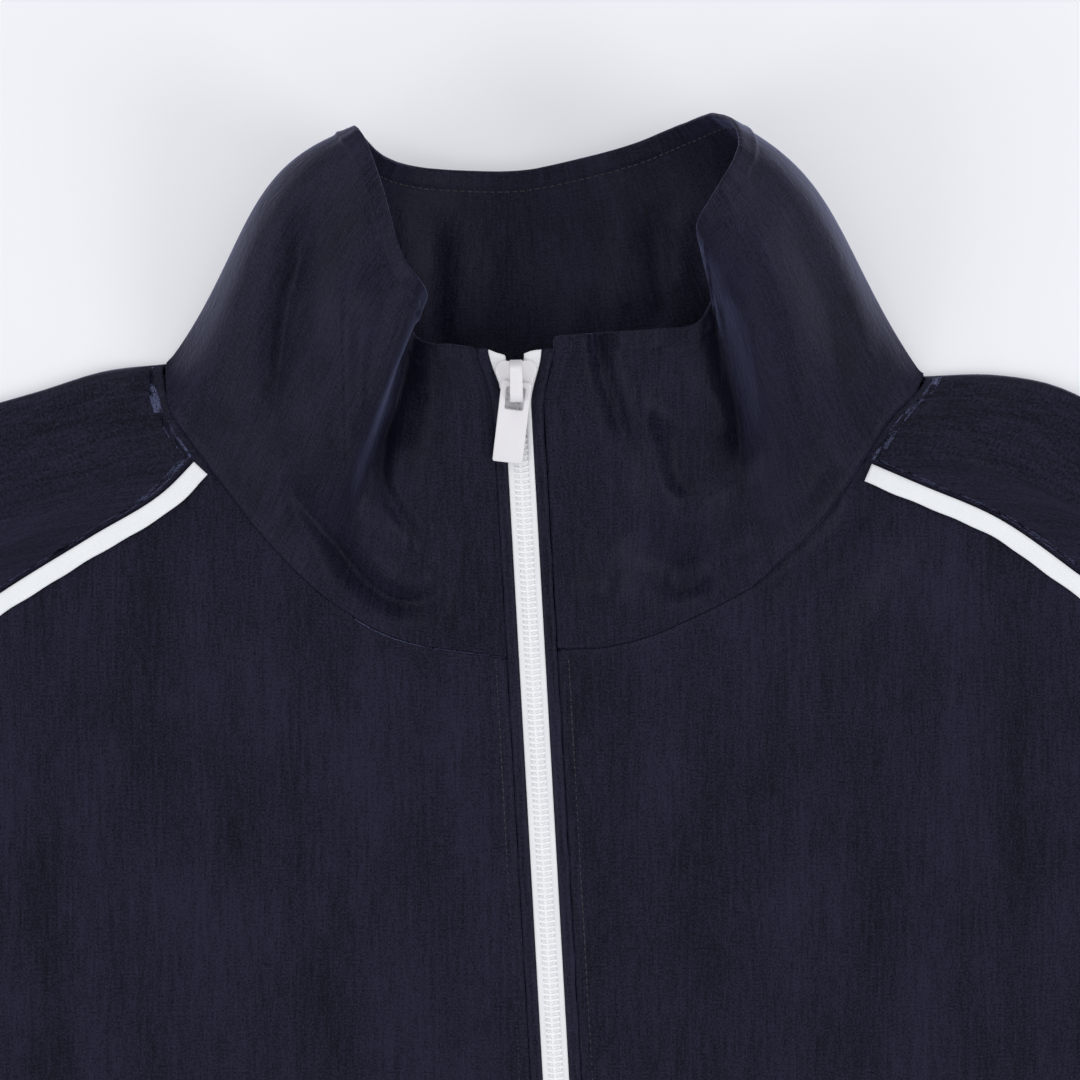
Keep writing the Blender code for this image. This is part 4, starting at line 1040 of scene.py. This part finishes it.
def make_coil(finish):
    """The interlocked coil: on each side a wire whose offset swings as a cosine between the tape
    and just past the middle while it climbs and steps one pitch along the zip for each turn."""
    wires = []
    turns = (FORK_Y + 1 - HEM_Y - 3) / COIL_PITCH
    per_turn = 8 if DETAIL < 1 else 12
    t = np.linspace(0, turns, int(turns * per_turn))
    for sign in (-1, 1):
        phase = 2 * math.pi * t
        lean = 0.32 * COIL_PITCH * np.sin(phase)
        y = HEM_Y + 3 + (t + (0.5 if sign > 0 else 0)) * COIL_PITCH + lean * sign
        reach = np.cos(phase)
        offset = sign * (1.05 - 1.45 * reach)
        rise = -0.22 + 0.14 * np.sin(phase + 0.4)
        centre = zip_sections(y, offset[:, None], rise[:, None])[:, 0]
        way = unit(np.gradient(centre, axis=0))
        side = unit(np.cross(way, [0, 0, 1.0]))
        up = np.cross(side, way)
        angles = np.linspace(0, 2 * math.pi, 6)[:-1]
        ring = (np.cos(angles)[None, :, None] * side[:, None] * 0.36
                + np.sin(angles)[None, :, None] * up[:, None] * 0.24)
        wires.append(swept(centre[:, None] + ring))
    return join(wires).make("zip_coil", finish)


def turned(angle, axis):
    """A 3x3 turn about X or Z by an angle in radians."""
    c, s = math.cos(angle), math.sin(angle)
    if axis == "X":
        return np.array([[1, 0, 0], [0, c, -s], [0, s, c]])
    return np.array([[c, -s, 0], [s, c, 0], [0, 0, 1]])


def on_zip(points, y, yaw, height=0.0):
    """Points given across, up and out of the zip at level y, put in their place: lifted by
    height, turned by yaw, tilted with the cloth's slope and moved to the zip line."""
    rise = float(zip_height([y + 1])[0] - zip_height([y - 1])[0]) / 2
    place = np.array([float(zip_x(y)), y, float(zip_height([y])[0])])
    lifted = points + np.array([0, 0, height])
    return lifted @ (turned(math.atan(rise), "X") @ turned(yaw, "Z")).T + place


def rounded_rectangle(low_x, low_y, high_x, high_y, radius, steps=5, along=10):
    """Points round a rectangle with quarter-round corners, anticlockwise from its right side.
    Two such outlines match point for point."""
    corners = ((high_x - radius, high_y - radius, 0), (low_x + radius, high_y - radius, 90),
               (low_x + radius, low_y + radius, 180), (high_x - radius, low_y + radius, 270))
    ring = []
    for x, y, start in corners:
        angles = np.radians(start + np.linspace(0, 90, steps))
        ring.append(np.column_stack([x + radius * np.cos(angles), y + radius * np.sin(angles)]))
    sides = []
    for k, arc in enumerate(ring):
        following = ring[(k + 1) % 4][0]
        share = np.linspace(0, 1, along + 2)[1:-1, None]
        sides.append(np.concatenate([arc, arc[-1] + share * (following - arc[-1])]))
    return np.concatenate(sides)


def shifted(outline, distance):
    """A closed outline moved along its own normals, outwards where distance is positive."""
    way = unit(np.roll(outline, -1, axis=0) - np.roll(outline, 1, axis=0))
    return outline + distance * np.stack([way[:, 1], -way[:, 0]], axis=1)


def framed_plate(outer, inner, thick, bevel):
    """A plate with a hole: a closed section with quarter-round edges, carried round from the
    hole's outline to the plate's, both of which have the same number of points."""
    half = thick / 2
    angles = np.linspace(0, math.pi / 2, 4)
    rows = []
    for a in angles:
        rows.append((shifted(inner, bevel * (1 - math.cos(a))), half - bevel + bevel * math.sin(a)))
    top_in = shifted(inner, bevel)
    top_out = shifted(outer, -bevel)
    for share in (0.25, 0.5, 0.75):
        rows.append((top_in + share * (top_out - top_in), half))
    for a in angles[::-1]:
        rows.append((shifted(outer, -bevel * (1 - math.cos(a))), half - bevel + bevel * math.sin(a)))
    rows += [(plan, -z) for plan, z in reversed(rows)]
    rows.append(rows[0])
    return np.stack([np.column_stack([plan, np.full(len(plan), z)]) for plan, z in rows])


def make_tab(finish):
    """The pull tab: a slim plate with eased edges and a slot for the slider's bridge."""
    half = TAB_WIDTH / 2
    outer = rounded_rectangle(-half, BAR_RADIUS - TAB_LENGTH, half, BAR_RADIUS, 0.55)
    inner = rounded_rectangle(-SLOT_WIDTH / 2, -BAR_RADIUS - SLOT_LENGTH, SLOT_WIDTH / 2, -BAR_RADIUS, 0.5)
    grid = framed_plate(outer, inner, TAB_THICK, 0.3)
    uv = grid[..., 0:2] / 10
    uv = np.concatenate([uv, uv[:, :1]], axis=1)
    height = SLIDER_CLEARANCE + SLIDER_PLATE + BAR_ABOVE
    placed = on_zip(on_tab(grid), BAR_Y, TAB_YAW, height)
    return Skin().grid(placed, uv, wrap=True).make("pull_tab_plate", finish, body="tab")


def on_tab(points):
    """Points of the tab pitched about its bar."""
    return points @ turned(TAB_PITCH, "X").T


def shield():
    """The slider's outline: two round shoulders above, straight flanks that draw in, and a
    rounded foot, as a smooth closed curve."""
    half = SLIDER_LENGTH / 2
    wide = SLIDER_WIDE / 2
    narrow = SLIDER_NARROW / 2
    right = np.array([(0.0, -half), (narrow - 1.2, -half), (narrow, -half + 1.0), (narrow + 0.35, -1.2),
                      (wide - 0.25, 0.6), (wide, 1.9), (wide - 0.6, 3.1), (wide - 2.0, half - 0.1),
                      (1.4, half - 0.25), (0.0, half - 0.3)])
    fine = through(right, np.linspace(0, 1, 72))
    return np.concatenate([fine, (fine * (-1, 1))[-2:0:-1]])


def domed_plate(outline, low, high, dome, bevel):
    """A plate over a closed outline: flat below, quarter-round edge, and a top that swells as
    dome * (1 - r^2) towards its middle. Rows run from the bottom's middle to the top's."""
    centre = outline.mean(axis=0)
    rows = [(centre + (outline - centre) * r, low) for r in (0.0, 0.5, 0.97)]
    rows.append((outline, low + 0.1))
    for a in np.linspace(0, math.pi / 2, 5):
        edge = centre + (outline - centre) * (1 - bevel * (1 - math.cos(a)) / 4)
        rows.append((edge, high - bevel + bevel * math.sin(a)))
    last = 1 - bevel / 4
    for r in np.linspace(last, 0, 9)[1:]:
        rows.append((centre + (outline - centre) * r, high + dome * (1 - (r / last) ** 2)))
    return np.stack([np.column_stack([plan, np.full(len(plan), z)]) for plan, z in rows])


def bridge_sections():
    """The bridge: a rounded bar whose middle line rises from the plate, runs level over the
    tab's bar and slopes back down, with its section square to that line."""
    top = BRIDGE_RISE + BRIDGE_THICK / 2
    inset = BRIDGE_THICK / 2
    line = np.array([(-BRIDGE_DOWN + inset, -0.5), (-BRIDGE_DOWN + inset, 1.2),
                     (-BRIDGE_DOWN + inset + 0.25, top - 0.45), (-BRIDGE_DOWN + inset + 0.9, top),
                     (0.0, top + 0.05), (BRIDGE_UP - 3.0, top), (BRIDGE_UP - 1.9, top - 0.6),
                     (BRIDGE_UP - 1.0, 1.2), (BRIDGE_UP - inset, -0.5)])
    line = through(line, np.linspace(0, 1, 46))
    way = unit(np.gradient(line, axis=0))
    normal = np.stack([-way[:, 1], way[:, 0]], axis=1)
    half = BRIDGE_WIDTH / 2
    ring = rounded_rectangle(-half, -BRIDGE_THICK / 2, half, BRIDGE_THICK / 2, 0.32, steps=4, along=3)
    x = np.broadcast_to(ring[:, 0], (len(line), len(ring)))
    y = line[:, None, 0] + ring[:, 1] * normal[:, None, 0]
    z = line[:, None, 1] + ring[:, 1] * normal[:, None, 1]
    return np.stack([x, y, z], axis=-1)


def make_slider(finish):
    """The slider: a domed shield over the chain, its flanges round the tape, and the bridge."""
    base = SLIDER_CLEARANCE
    top = base + SLIDER_PLATE
    plate = domed_plate(shield(), base, top - 0.12, 0.14, 0.5)
    skins = [Skin().grid(on_zip(plate, SLIDER_Y, SLIDER_YAW), wrap=True)]
    bridge = bridge_sections() + np.array([0, BAR_Y - SLIDER_Y, top])
    skins.append(swept(on_zip(bridge, SLIDER_Y, SLIDER_YAW)))
    for sign in (-1, 1):
        y = np.linspace(-3.4, 2.4, 14)
        x = np.interp(y, [-3.4, -1.0, 1.0, 2.4], [3.55, 3.85, 4.6, 4.7])
        ring = rounded_rectangle(-0.35, -1.9, 0.35, 0.3, 0.25, steps=3, along=2)
        flange = np.stack([sign * x[:, None] + ring[:, 0], np.broadcast_to(y[:, None], (14, len(ring))),
                           base + np.broadcast_to(ring[:, 1], (14, len(ring)))], axis=-1)
        skins.append(swept(on_zip(flange, SLIDER_Y, SLIDER_YAW)))
    return join(skins).make("slider_body", finish)


def stitches(path, normal, length=1.35, width=0.17, lift=0.02):
    """Short threads along a path: each is a spindle whose radius follows a square root of a sine
    along its length, laid on the cloth and bowed with its ends sunk in."""
    knots = chord_knots(path)
    count = max(1, int(knots[-1] / STITCH_PITCH))
    at = (np.arange(count) + 0.5) * knots[-1] / count
    places = [np.interp(at[:, None] + shift, knots, path[:, k]) for shift in (-0.2, 0.2) for k in range(3)]
    places = np.stack(places, axis=-1)[:, 0]
    centre = (places[:, :3] + places[:, 3:]) / 2
    way = unit(places[:, 3:] - places[:, :3])
    up = np.stack([np.interp(at, knots, normal[:, k]) for k in range(3)], axis=-1)
    up = unit(up - way * (up * way).sum(-1, keepdims=True))
    side = np.cross(way, up)
    s = np.linspace(-1, 1, 6)
    radius = width * np.sqrt(np.maximum(np.cos(s * math.pi / 2), 0))
    bow = 0.16 * (1 - s**2) - 0.1
    angles = np.linspace(0, 2 * math.pi, 6)[:-1]
    local = (s * length / 2)[None, :, None, None] * way[:, None, None]
    local = local + (lift + bow)[None, :, None, None] * up[:, None, None]
    ring = np.cos(angles)[:, None] * side[:, None, None] + 0.8 * np.sin(angles)[:, None] * up[:, None, None]
    points = centre[:, None, None] + local + radius[None, :, None, None] * ring
    skin = Skin()
    rings, around = len(s), len(angles)
    index = np.arange(rings * around).reshape(rings, around)
    index = np.concatenate([index, index[:, :1]], axis=1)
    cells = np.stack([index[:-1, :-1], index[1:, :-1], index[1:, 1:], index[:-1, 1:]], axis=-1)
    cells = cells.reshape(1, -1, 4) + (np.arange(count) * rings * around)[:, None, None]
    skin.points.append(points.reshape(-1, 3))
    skin.faces.append(cells.reshape(-1, 4))
    skin.uvs.append(np.zeros((skin.faces[0].shape[0], 4, 2)))
    skin.count = count * rings * around
    return skin


def on_collar(first, last, v):
    """Points and normals along the collar between two places, at share v of its height, which
    may change along the way."""
    places = np.linspace(first, last, 400)
    v = np.broadcast_to(v, places.shape)
    shares = np.stack([v - 0.004, v, v + 0.004])
    outer, normal, _ = collar_cloth(places, shares)
    return outer[1], normal[1]


def up_collar(place, low, high):
    """Points and normals straight up the collar at one place round it."""
    places = place + np.linspace(-0.6, 0.6, 3)
    outer, normal, _ = collar_cloth(places, np.linspace(low, high, 120))
    return outer[:, 1], normal[:, 1]


def on_panel(plan):
    """Points and normals on the upper layer at plan points."""
    step = 0.4
    z = panel_height(plan)
    dx = (panel_height(plan + (step, 0)) - z) / step
    dy = (panel_height(plan + (0, step)) - z) / step
    return np.column_stack([plan, z]), unit(np.stack([-dx, -dy, np.ones_like(z)], axis=-1))


def collar_share(places, from_seam=None, from_edge=None):
    """Share of the collar's height that lies a distance from its seam or from its top edge."""
    station = stations(places)
    front = np.clip(station[:, 2], 0, 1)
    seam = np.column_stack([station[:, 0:2], front * upper_height(station[:, 0:2])])
    height = np.linalg.norm(station[:, 3:6] - seam, axis=1)
    return from_seam / height if from_seam else 1 - from_edge / height


def seam_stitches():
    """All rows of topstitching: round the collar's hem, above its seam, beside the zip, and
    along the garment's hem and cuffs."""
    start, end = places_limits()
    knots = dict(zip(COLLAR, collar_knots()))
    rows = []
    first, last = start + STITCH_FROM_ZIP, end - STITCH_FROM_ZIP
    places = np.linspace(first, last, 400)
    rows.append(on_collar(first, last, collar_share(places, from_edge=STITCH_FROM_EDGE)))
    for a, b in ((first, knots["left fold"]), (knots["right fold"], last)):
        places = np.linspace(a, b, 400)
        rows.append(on_collar(a, b, collar_share(places, from_seam=STITCH_FROM_SEAM)))
    for place in (first, last):
        high = collar_share(np.array([place]), from_edge=STITCH_FROM_EDGE)
        rows.append(up_collar(place, 0.02, float(high[0])))
    y = np.linspace(-0.6, HEM_Y + HEM_DEPTH, 500)
    for side in SIDES:
        sign = SIDES[side]["sign"]
        rows.append(on_panel(np.column_stack([zip_x(y) + sign * (CLOTH_EDGE + STITCH_FROM_ZIP), y])))
        corner = side_seam(side, [0.93])[0]
        start_x = zip_x(HEM_Y) + sign * (CLOTH_EDGE + STITCH_FROM_ZIP)
        x = np.linspace(start_x, corner[0] - sign * 1.5, 500)
        rows.append(on_panel(np.column_stack([x, np.full(500, HEM_Y + HEM_DEPTH)])))
        outer = np.array(SIDES[side]["overarm"][-1], float)
        lower = cuff_corner(side)
        back = np.array(SIDES[side]["overarm"][-2], float) - outer
        back *= HEM_DEPTH / np.linalg.norm(back)
        share = np.linspace(0.02, 0.98, 160)[:, None]
        rows.append(on_panel(outer + back + share * (lower - outer)))
    return rows


def needle_rows(rows):
    """The threads of all rows, and between them small near-black spindles of painted shade where the needle
    holes are.
    """
    threads = join([stitches(path, normal) for path, normal in rows])
    hole_shade_marks = []
    for path, normal in rows:
        knots = chord_knots(path)
        half = 0.5 * knots[-1] / max(1, int(knots[-1] / STITCH_PITCH))
        shifted_path = np.stack([np.interp(knots + half, knots, path[:, k]) for k in range(3)], axis=-1)
        hole_shade_marks.append(stitches(shifted_path, normal, length=0.62, width=0.2, lift=-0.06))
    return threads, join(hole_shade_marks)


class Value:
    """A number that varies over a surface: a node's output socket, with the sums, differences
    and products that are done on it."""

    def __init__(self, finish, socket):
        self.finish = finish
        self.socket = socket

    def math(self, operation, *others):
        inputs = [other.socket if isinstance(other, Value) else other for other in others]
        node = self.finish.add("ShaderNodeMath", {"operation": operation}, *inputs)
        return Value(self.finish, node.outputs[0])

    def __add__(self, other):
        return self.math("ADD", self, other)

    __radd__ = __add__

    def __sub__(self, other):
        return self.math("SUBTRACT", self, other)

    def __rsub__(self, other):
        return self.math("SUBTRACT", other, self)

    def __mul__(self, other):
        return self.math("MULTIPLY", self, other)

    __rmul__ = __mul__

    def clipped(self):
        return self.math("MAXIMUM", self.math("MINIMUM", self, 1.0), 0.0)


class Finish:
    """A material whose nodes are added by type, settings and inputs."""

    def __init__(self, name, colour, **constants):
        self.material = bpy.data.materials.new(name)
        self.material.use_nodes = True
        self.material.diffuse_color = (*colour, 1)
        self.tree = self.material.node_tree
        self.shader = self.tree.nodes["Principled BSDF"]
        self.shader.inputs["Base Color"].default_value = (*colour, 1)
        for socket, value in constants.items():
            self.shader.inputs[socket.replace("_", " ")].default_value = value

    def add(self, kind, settings, *inputs, **named):
        node = self.tree.nodes.new(kind)
        for setting, value in settings.items():
            setattr(node, setting, value)
        pairs = list(zip(node.inputs, inputs))
        pairs += [(node.inputs[socket.replace("_", " ")], value) for socket, value in named.items()]
        for socket, value in pairs:
            if isinstance(value, Value):
                value = value.socket
            if isinstance(value, bpy.types.NodeSocket):
                self.tree.links.new(value, socket)
            else:
                socket.default_value = value
        return node

    def places(self, scale):
        """The cloth's own places, in centimetres, times a scale each way."""
        uv = self.add("ShaderNodeUVMap", {"uv_map": "cloth"}).outputs["UV"]
        mapping = self.add("ShaderNodeMapping", {}, Vector=uv, Scale=(*scale, 1.0))
        return mapping.outputs["Vector"]

    def object_places(self, scale):
        place = self.add("ShaderNodeTexCoord", {}).outputs["Object"]
        return self.add("ShaderNodeMapping", {}, Vector=place, Scale=scale).outputs["Vector"]

    def noise(self, vector, detail=2.0, roughness=0.5, distortion=0.0):
        node = self.add("ShaderNodeTexNoise", {"noise_dimensions": "3D"}, Vector=vector, Scale=1.0,
                        Detail=detail, Roughness=roughness, Distortion=distortion)
        return Value(self, node.outputs["Fac"])

    def between(self, factor, low, high):
        """A colour between two, by a factor."""
        node = self.add("ShaderNodeMix", {"data_type": "RGBA"})
        self.tree.links.new(factor.socket, node.inputs[0])
        node.inputs[6].default_value = (*low, 1)
        node.inputs[7].default_value = (*high, 1)
        return node.outputs[2]

    def feed(self, socket, value):
        value = value.socket if isinstance(value, Value) else value
        self.tree.links.new(value, self.shader.inputs[socket])

    def bump(self, height, distance):
        node = self.add("ShaderNodeBump", {}, Strength=1.0, Distance=distance, Height=height)
        self.tree.links.new(node.outputs["Normal"], self.shader.inputs["Normal"])


def woven_cloth(name):
    """Thin crisp cloth: crossed threads of uneven thickness, upright slubs, wide soft bands of
    tone, and a faint crushed grain between them."""
    cloth = Finish(name, NAVY, Specular_IOR_Level=0.15, Specular_Tint=(0.74, 0.75, 1.0, 1.0),
                   Sheen_Weight=0.34, Sheen_Roughness=0.36, Sheen_Tint=(0.5, 0.56, 1.0, 1.0))
    warp = cloth.noise(cloth.places((15.0, 2.0)), detail=2.5, roughness=0.65)
    weft = cloth.noise(cloth.places((3.0, 17.0)), detail=2.5, roughness=0.65)
    slub = cloth.noise(cloth.places((9.0, 0.55)), detail=2.0)
    band = cloth.noise(cloth.places((0.55, 0.06)), detail=2.0)
    patch_tone = cloth.noise(cloth.places((0.32, 0.25)), detail=3.0)
    crush = cloth.noise(cloth.places((4.2, 2.4)), detail=4.0, roughness=0.62, distortion=0.6)
    grain = cloth.noise(cloth.places((20.0, 20.0)), detail=1.5)
    tone = 0.30 * warp + 0.22 * weft + 0.22 * slub + 0.30 * band + 0.26 * patch_tone
    tone = ((tone - 0.65) * 3.6 + 0.5 + (grain - 0.5) * 2.2).clipped()
    colour = cloth.between(tone, NAVY_DEEP, NAVY_LIGHT)
    cloth.feed("Base Color", colour)
    cloth.feed("Roughness", 0.38 + 0.14 * slub + 0.08 * grain)
    height = 0.30 * warp + 0.30 * weft + 0.25 * slub + 0.9 * crush + 0.2 * grain
    cloth.bump(height, 0.00026)
    return cloth.material


def white_tape(name, colour, shade):
    """Woven tape: ribs along its length and crossed threads, in a clean white."""
    tape = Finish(name, colour, Specular_IOR_Level=0.4)
    ribs = tape.noise(tape.places((24.0, 1.5)), detail=2.0)
    cross = tape.noise(tape.places((3.0, 26.0)), detail=2.0)
    soft = tape.noise(tape.places((1.6, 0.8)), detail=2.0)
    tone = (0.4 * ribs + 0.4 * cross + 0.5 * soft - 0.15).clipped()
    tape.feed("Base Color", tape.between(tone, shade, colour))
    tape.feed("Roughness", 0.55 + 0.2 * cross)
    tape.bump(0.5 * ribs + 0.6 * cross + 0.4 * soft, 0.00012)
    return tape.material


def white_coil():
    coil = Finish("white_coil", (0.88, 0.88, 0.89), Specular_IOR_Level=0.4)
    soft = coil.noise(coil.object_places((900.0, 900.0, 900.0)), detail=2.0)
    coil.feed("Base Color", coil.between(soft, (0.84, 0.84, 0.85), (0.92, 0.92, 0.93)))
    coil.feed("Roughness", 0.38 + 0.16 * soft)
    coil.bump(soft, 0.00004)
    return coil.material


def painted_metal(name, colour, shade):
    """Satin paint over cast metal: a fine orange-peel, and faint rubbing where it is handled."""
    paint = Finish(name, colour, Specular_IOR_Level=0.5, Coat_Roughness=0.25)
    peel = paint.noise(paint.object_places((1500.0, 1500.0, 1500.0)), detail=2.0)
    rub = paint.noise(paint.object_places((160.0, 160.0, 160.0)), detail=3.0)
    paint.feed("Base Color", paint.between((0.25 + 0.9 * rub).clipped(), shade, colour))
    paint.feed("Roughness", 0.30 + 0.16 * rub)
    paint.feed("Coat Weight", 0.12 + 0.1 * rub)
    paint.bump(peel, 0.00002)
    return paint.material


def thread(name, low, high):
    yarn = Finish(name, high, Specular_IOR_Level=0.4, Sheen_Weight=0.2)
    twist = yarn.noise(yarn.object_places((3200.0, 3200.0, 3200.0)), detail=1.0)
    yarn.feed("Base Color", yarn.between(twist, low, high))
    yarn.feed("Roughness", 0.5 + 0.2 * twist)
    return yarn.material


def floor_finish():
    """Pale paper that gives off a little light, as a lit backdrop does."""
    paper = Finish("pale_floor", (0.6, 0.6, 0.6), Specular_IOR_Level=0.2,
                   Emission_Color=(1.0, 1.005, 1.04, 1.0), Emission_Strength=FLOOR_GLOW)
    cloud = paper.noise(paper.object_places((2.0, 2.0, 2.0)), detail=2.0)
    paper.feed("Base Color", paper.between(cloud, (0.555, 0.56, 0.585), (0.575, 0.58, 0.605)))
    paper.feed("Roughness", 0.7 + 0.1 * cloud)
    return paper.material


def make_stage():
    """A pale floor just under the garment, a soft sky that is brighter towards the collar, a
    broad light beyond the collar, one on each side towards the hem, and a distant camera that
    looks straight down."""
    scene = bpy.context.scene
    scene.view_settings.view_transform = "Standard"
    scene.view_settings.look = "None"
    mesh = bpy.data.meshes.new("floor")
    turns = ((-1, -1), (1, -1), (1, 1), (-1, 1))
    corners = [(x * FLOOR_HALF, y * FLOOR_HALF, FLOOR_Z) for x, y in turns]
    mesh.from_pydata(corners, [], [(0, 1, 2, 3)])
    mesh.materials.append(floor_finish())
    floor = bpy.data.objects.new("floor", mesh)
    scene.collection.objects.link(floor)

    world = bpy.data.worlds.new("sky")
    world.use_nodes = True
    nodes, links = world.node_tree.nodes, world.node_tree.links
    split = nodes.new("ShaderNodeSeparateXYZ")
    links.new(nodes.new("ShaderNodeTexCoord").outputs["Object"], split.inputs[0])
    share = nodes.new("ShaderNodeMapRange")
    share.inputs["From Min"].default_value = -0.6
    share.inputs["From Max"].default_value = 0.6
    links.new(split.outputs["Y"], share.inputs["Value"])
    mixed = nodes.new("ShaderNodeMix")
    mixed.data_type = "RGBA"
    links.new(share.outputs["Result"], mixed.inputs[0])
    mixed.inputs[6].default_value = (*SKY_LOW, 1)
    mixed.inputs[7].default_value = (*SKY_HIGH, 1)
    links.new(mixed.outputs[2], nodes["Background"].inputs["Color"])
    scene.world = world
    for name, place, size, power, colour in LIGHTS:
        data = bpy.data.lights.new(name, "AREA")
        data.shape = "DISK"
        data.size = size
        data.energy = power
        data.color = colour
        light = bpy.data.objects.new(name, data)
        scene.collection.objects.link(light)
        light.location = place
        aim = Vector(AIM) - light.location
        light.rotation_mode = "QUATERNION"
        light.rotation_quaternion = aim.to_track_quat("-Z", "Y")
    data = bpy.data.cameras.new("camera")
    data.sensor_width = 36.0
    data.lens = 36.0 * CAMERA_HEIGHT / FRAME_WIDTH
    data.clip_start = 0.1
    data.clip_end = 50.0
    camera = bpy.data.objects.new("camera", data)
    camera.location = (*FRAME_CENTRE, CAMERA_HEIGHT)
    scene.collection.objects.link(camera)
    scene.camera = camera


def main():
    make_stage()
    cloth = woven_cloth("navy_cloth")
    piping = white_tape("piping_tape", (0.86, 0.88, 0.89), (0.74, 0.76, 0.78))
    tape = white_tape("zip_tape", (0.86, 0.86, 0.87), (0.68, 0.68, 0.7))
    paint = painted_metal("white_paint", (0.80, 0.78, 0.80), (0.72, 0.70, 0.72))
    thread_finish = thread("navy_thread", (0.006, 0.006, 0.014), (0.018, 0.018, 0.036))
    # painted shade: a near-black finish for the marks that stand in for the shade in the needle holes
    hole_shade_finish = thread("needle_hole_shade", (0.002, 0.002, 0.003), (0.004, 0.004, 0.006))
    threads, hole_shade_marks = needle_rows(seam_stitches())
    threads = threads.make("topstitch_threads", thread_finish)
    # the needle-hole marks are painted shade, not a colour of the cloth or thread
    hole_shade_marks = hole_shade_marks.make("topstitch_hole_shade", hole_shade_finish)
    collar = make_collar(cloth)
    back = make_back(cloth)
    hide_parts("collar")
    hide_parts("back")
    for side in SIDES:
        front = make_front(side, cloth)
        sleeve = make_sleeve(side, cloth)
        strip = make_piping(side, piping)
        lip = make_lip(side, cloth)
        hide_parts(f"front_{side}")
        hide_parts(f"sleeve_{side}")
        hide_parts(f"piping_{side}")
        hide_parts(f"lip_{side}")
    tape_piece = make_tape(tape)
    make_coil(white_coil())
    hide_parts("zip_chain")
    slider = make_slider(paint)
    tab = make_tab(paint)
    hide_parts("slider")
    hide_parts("pull_tab")


main()
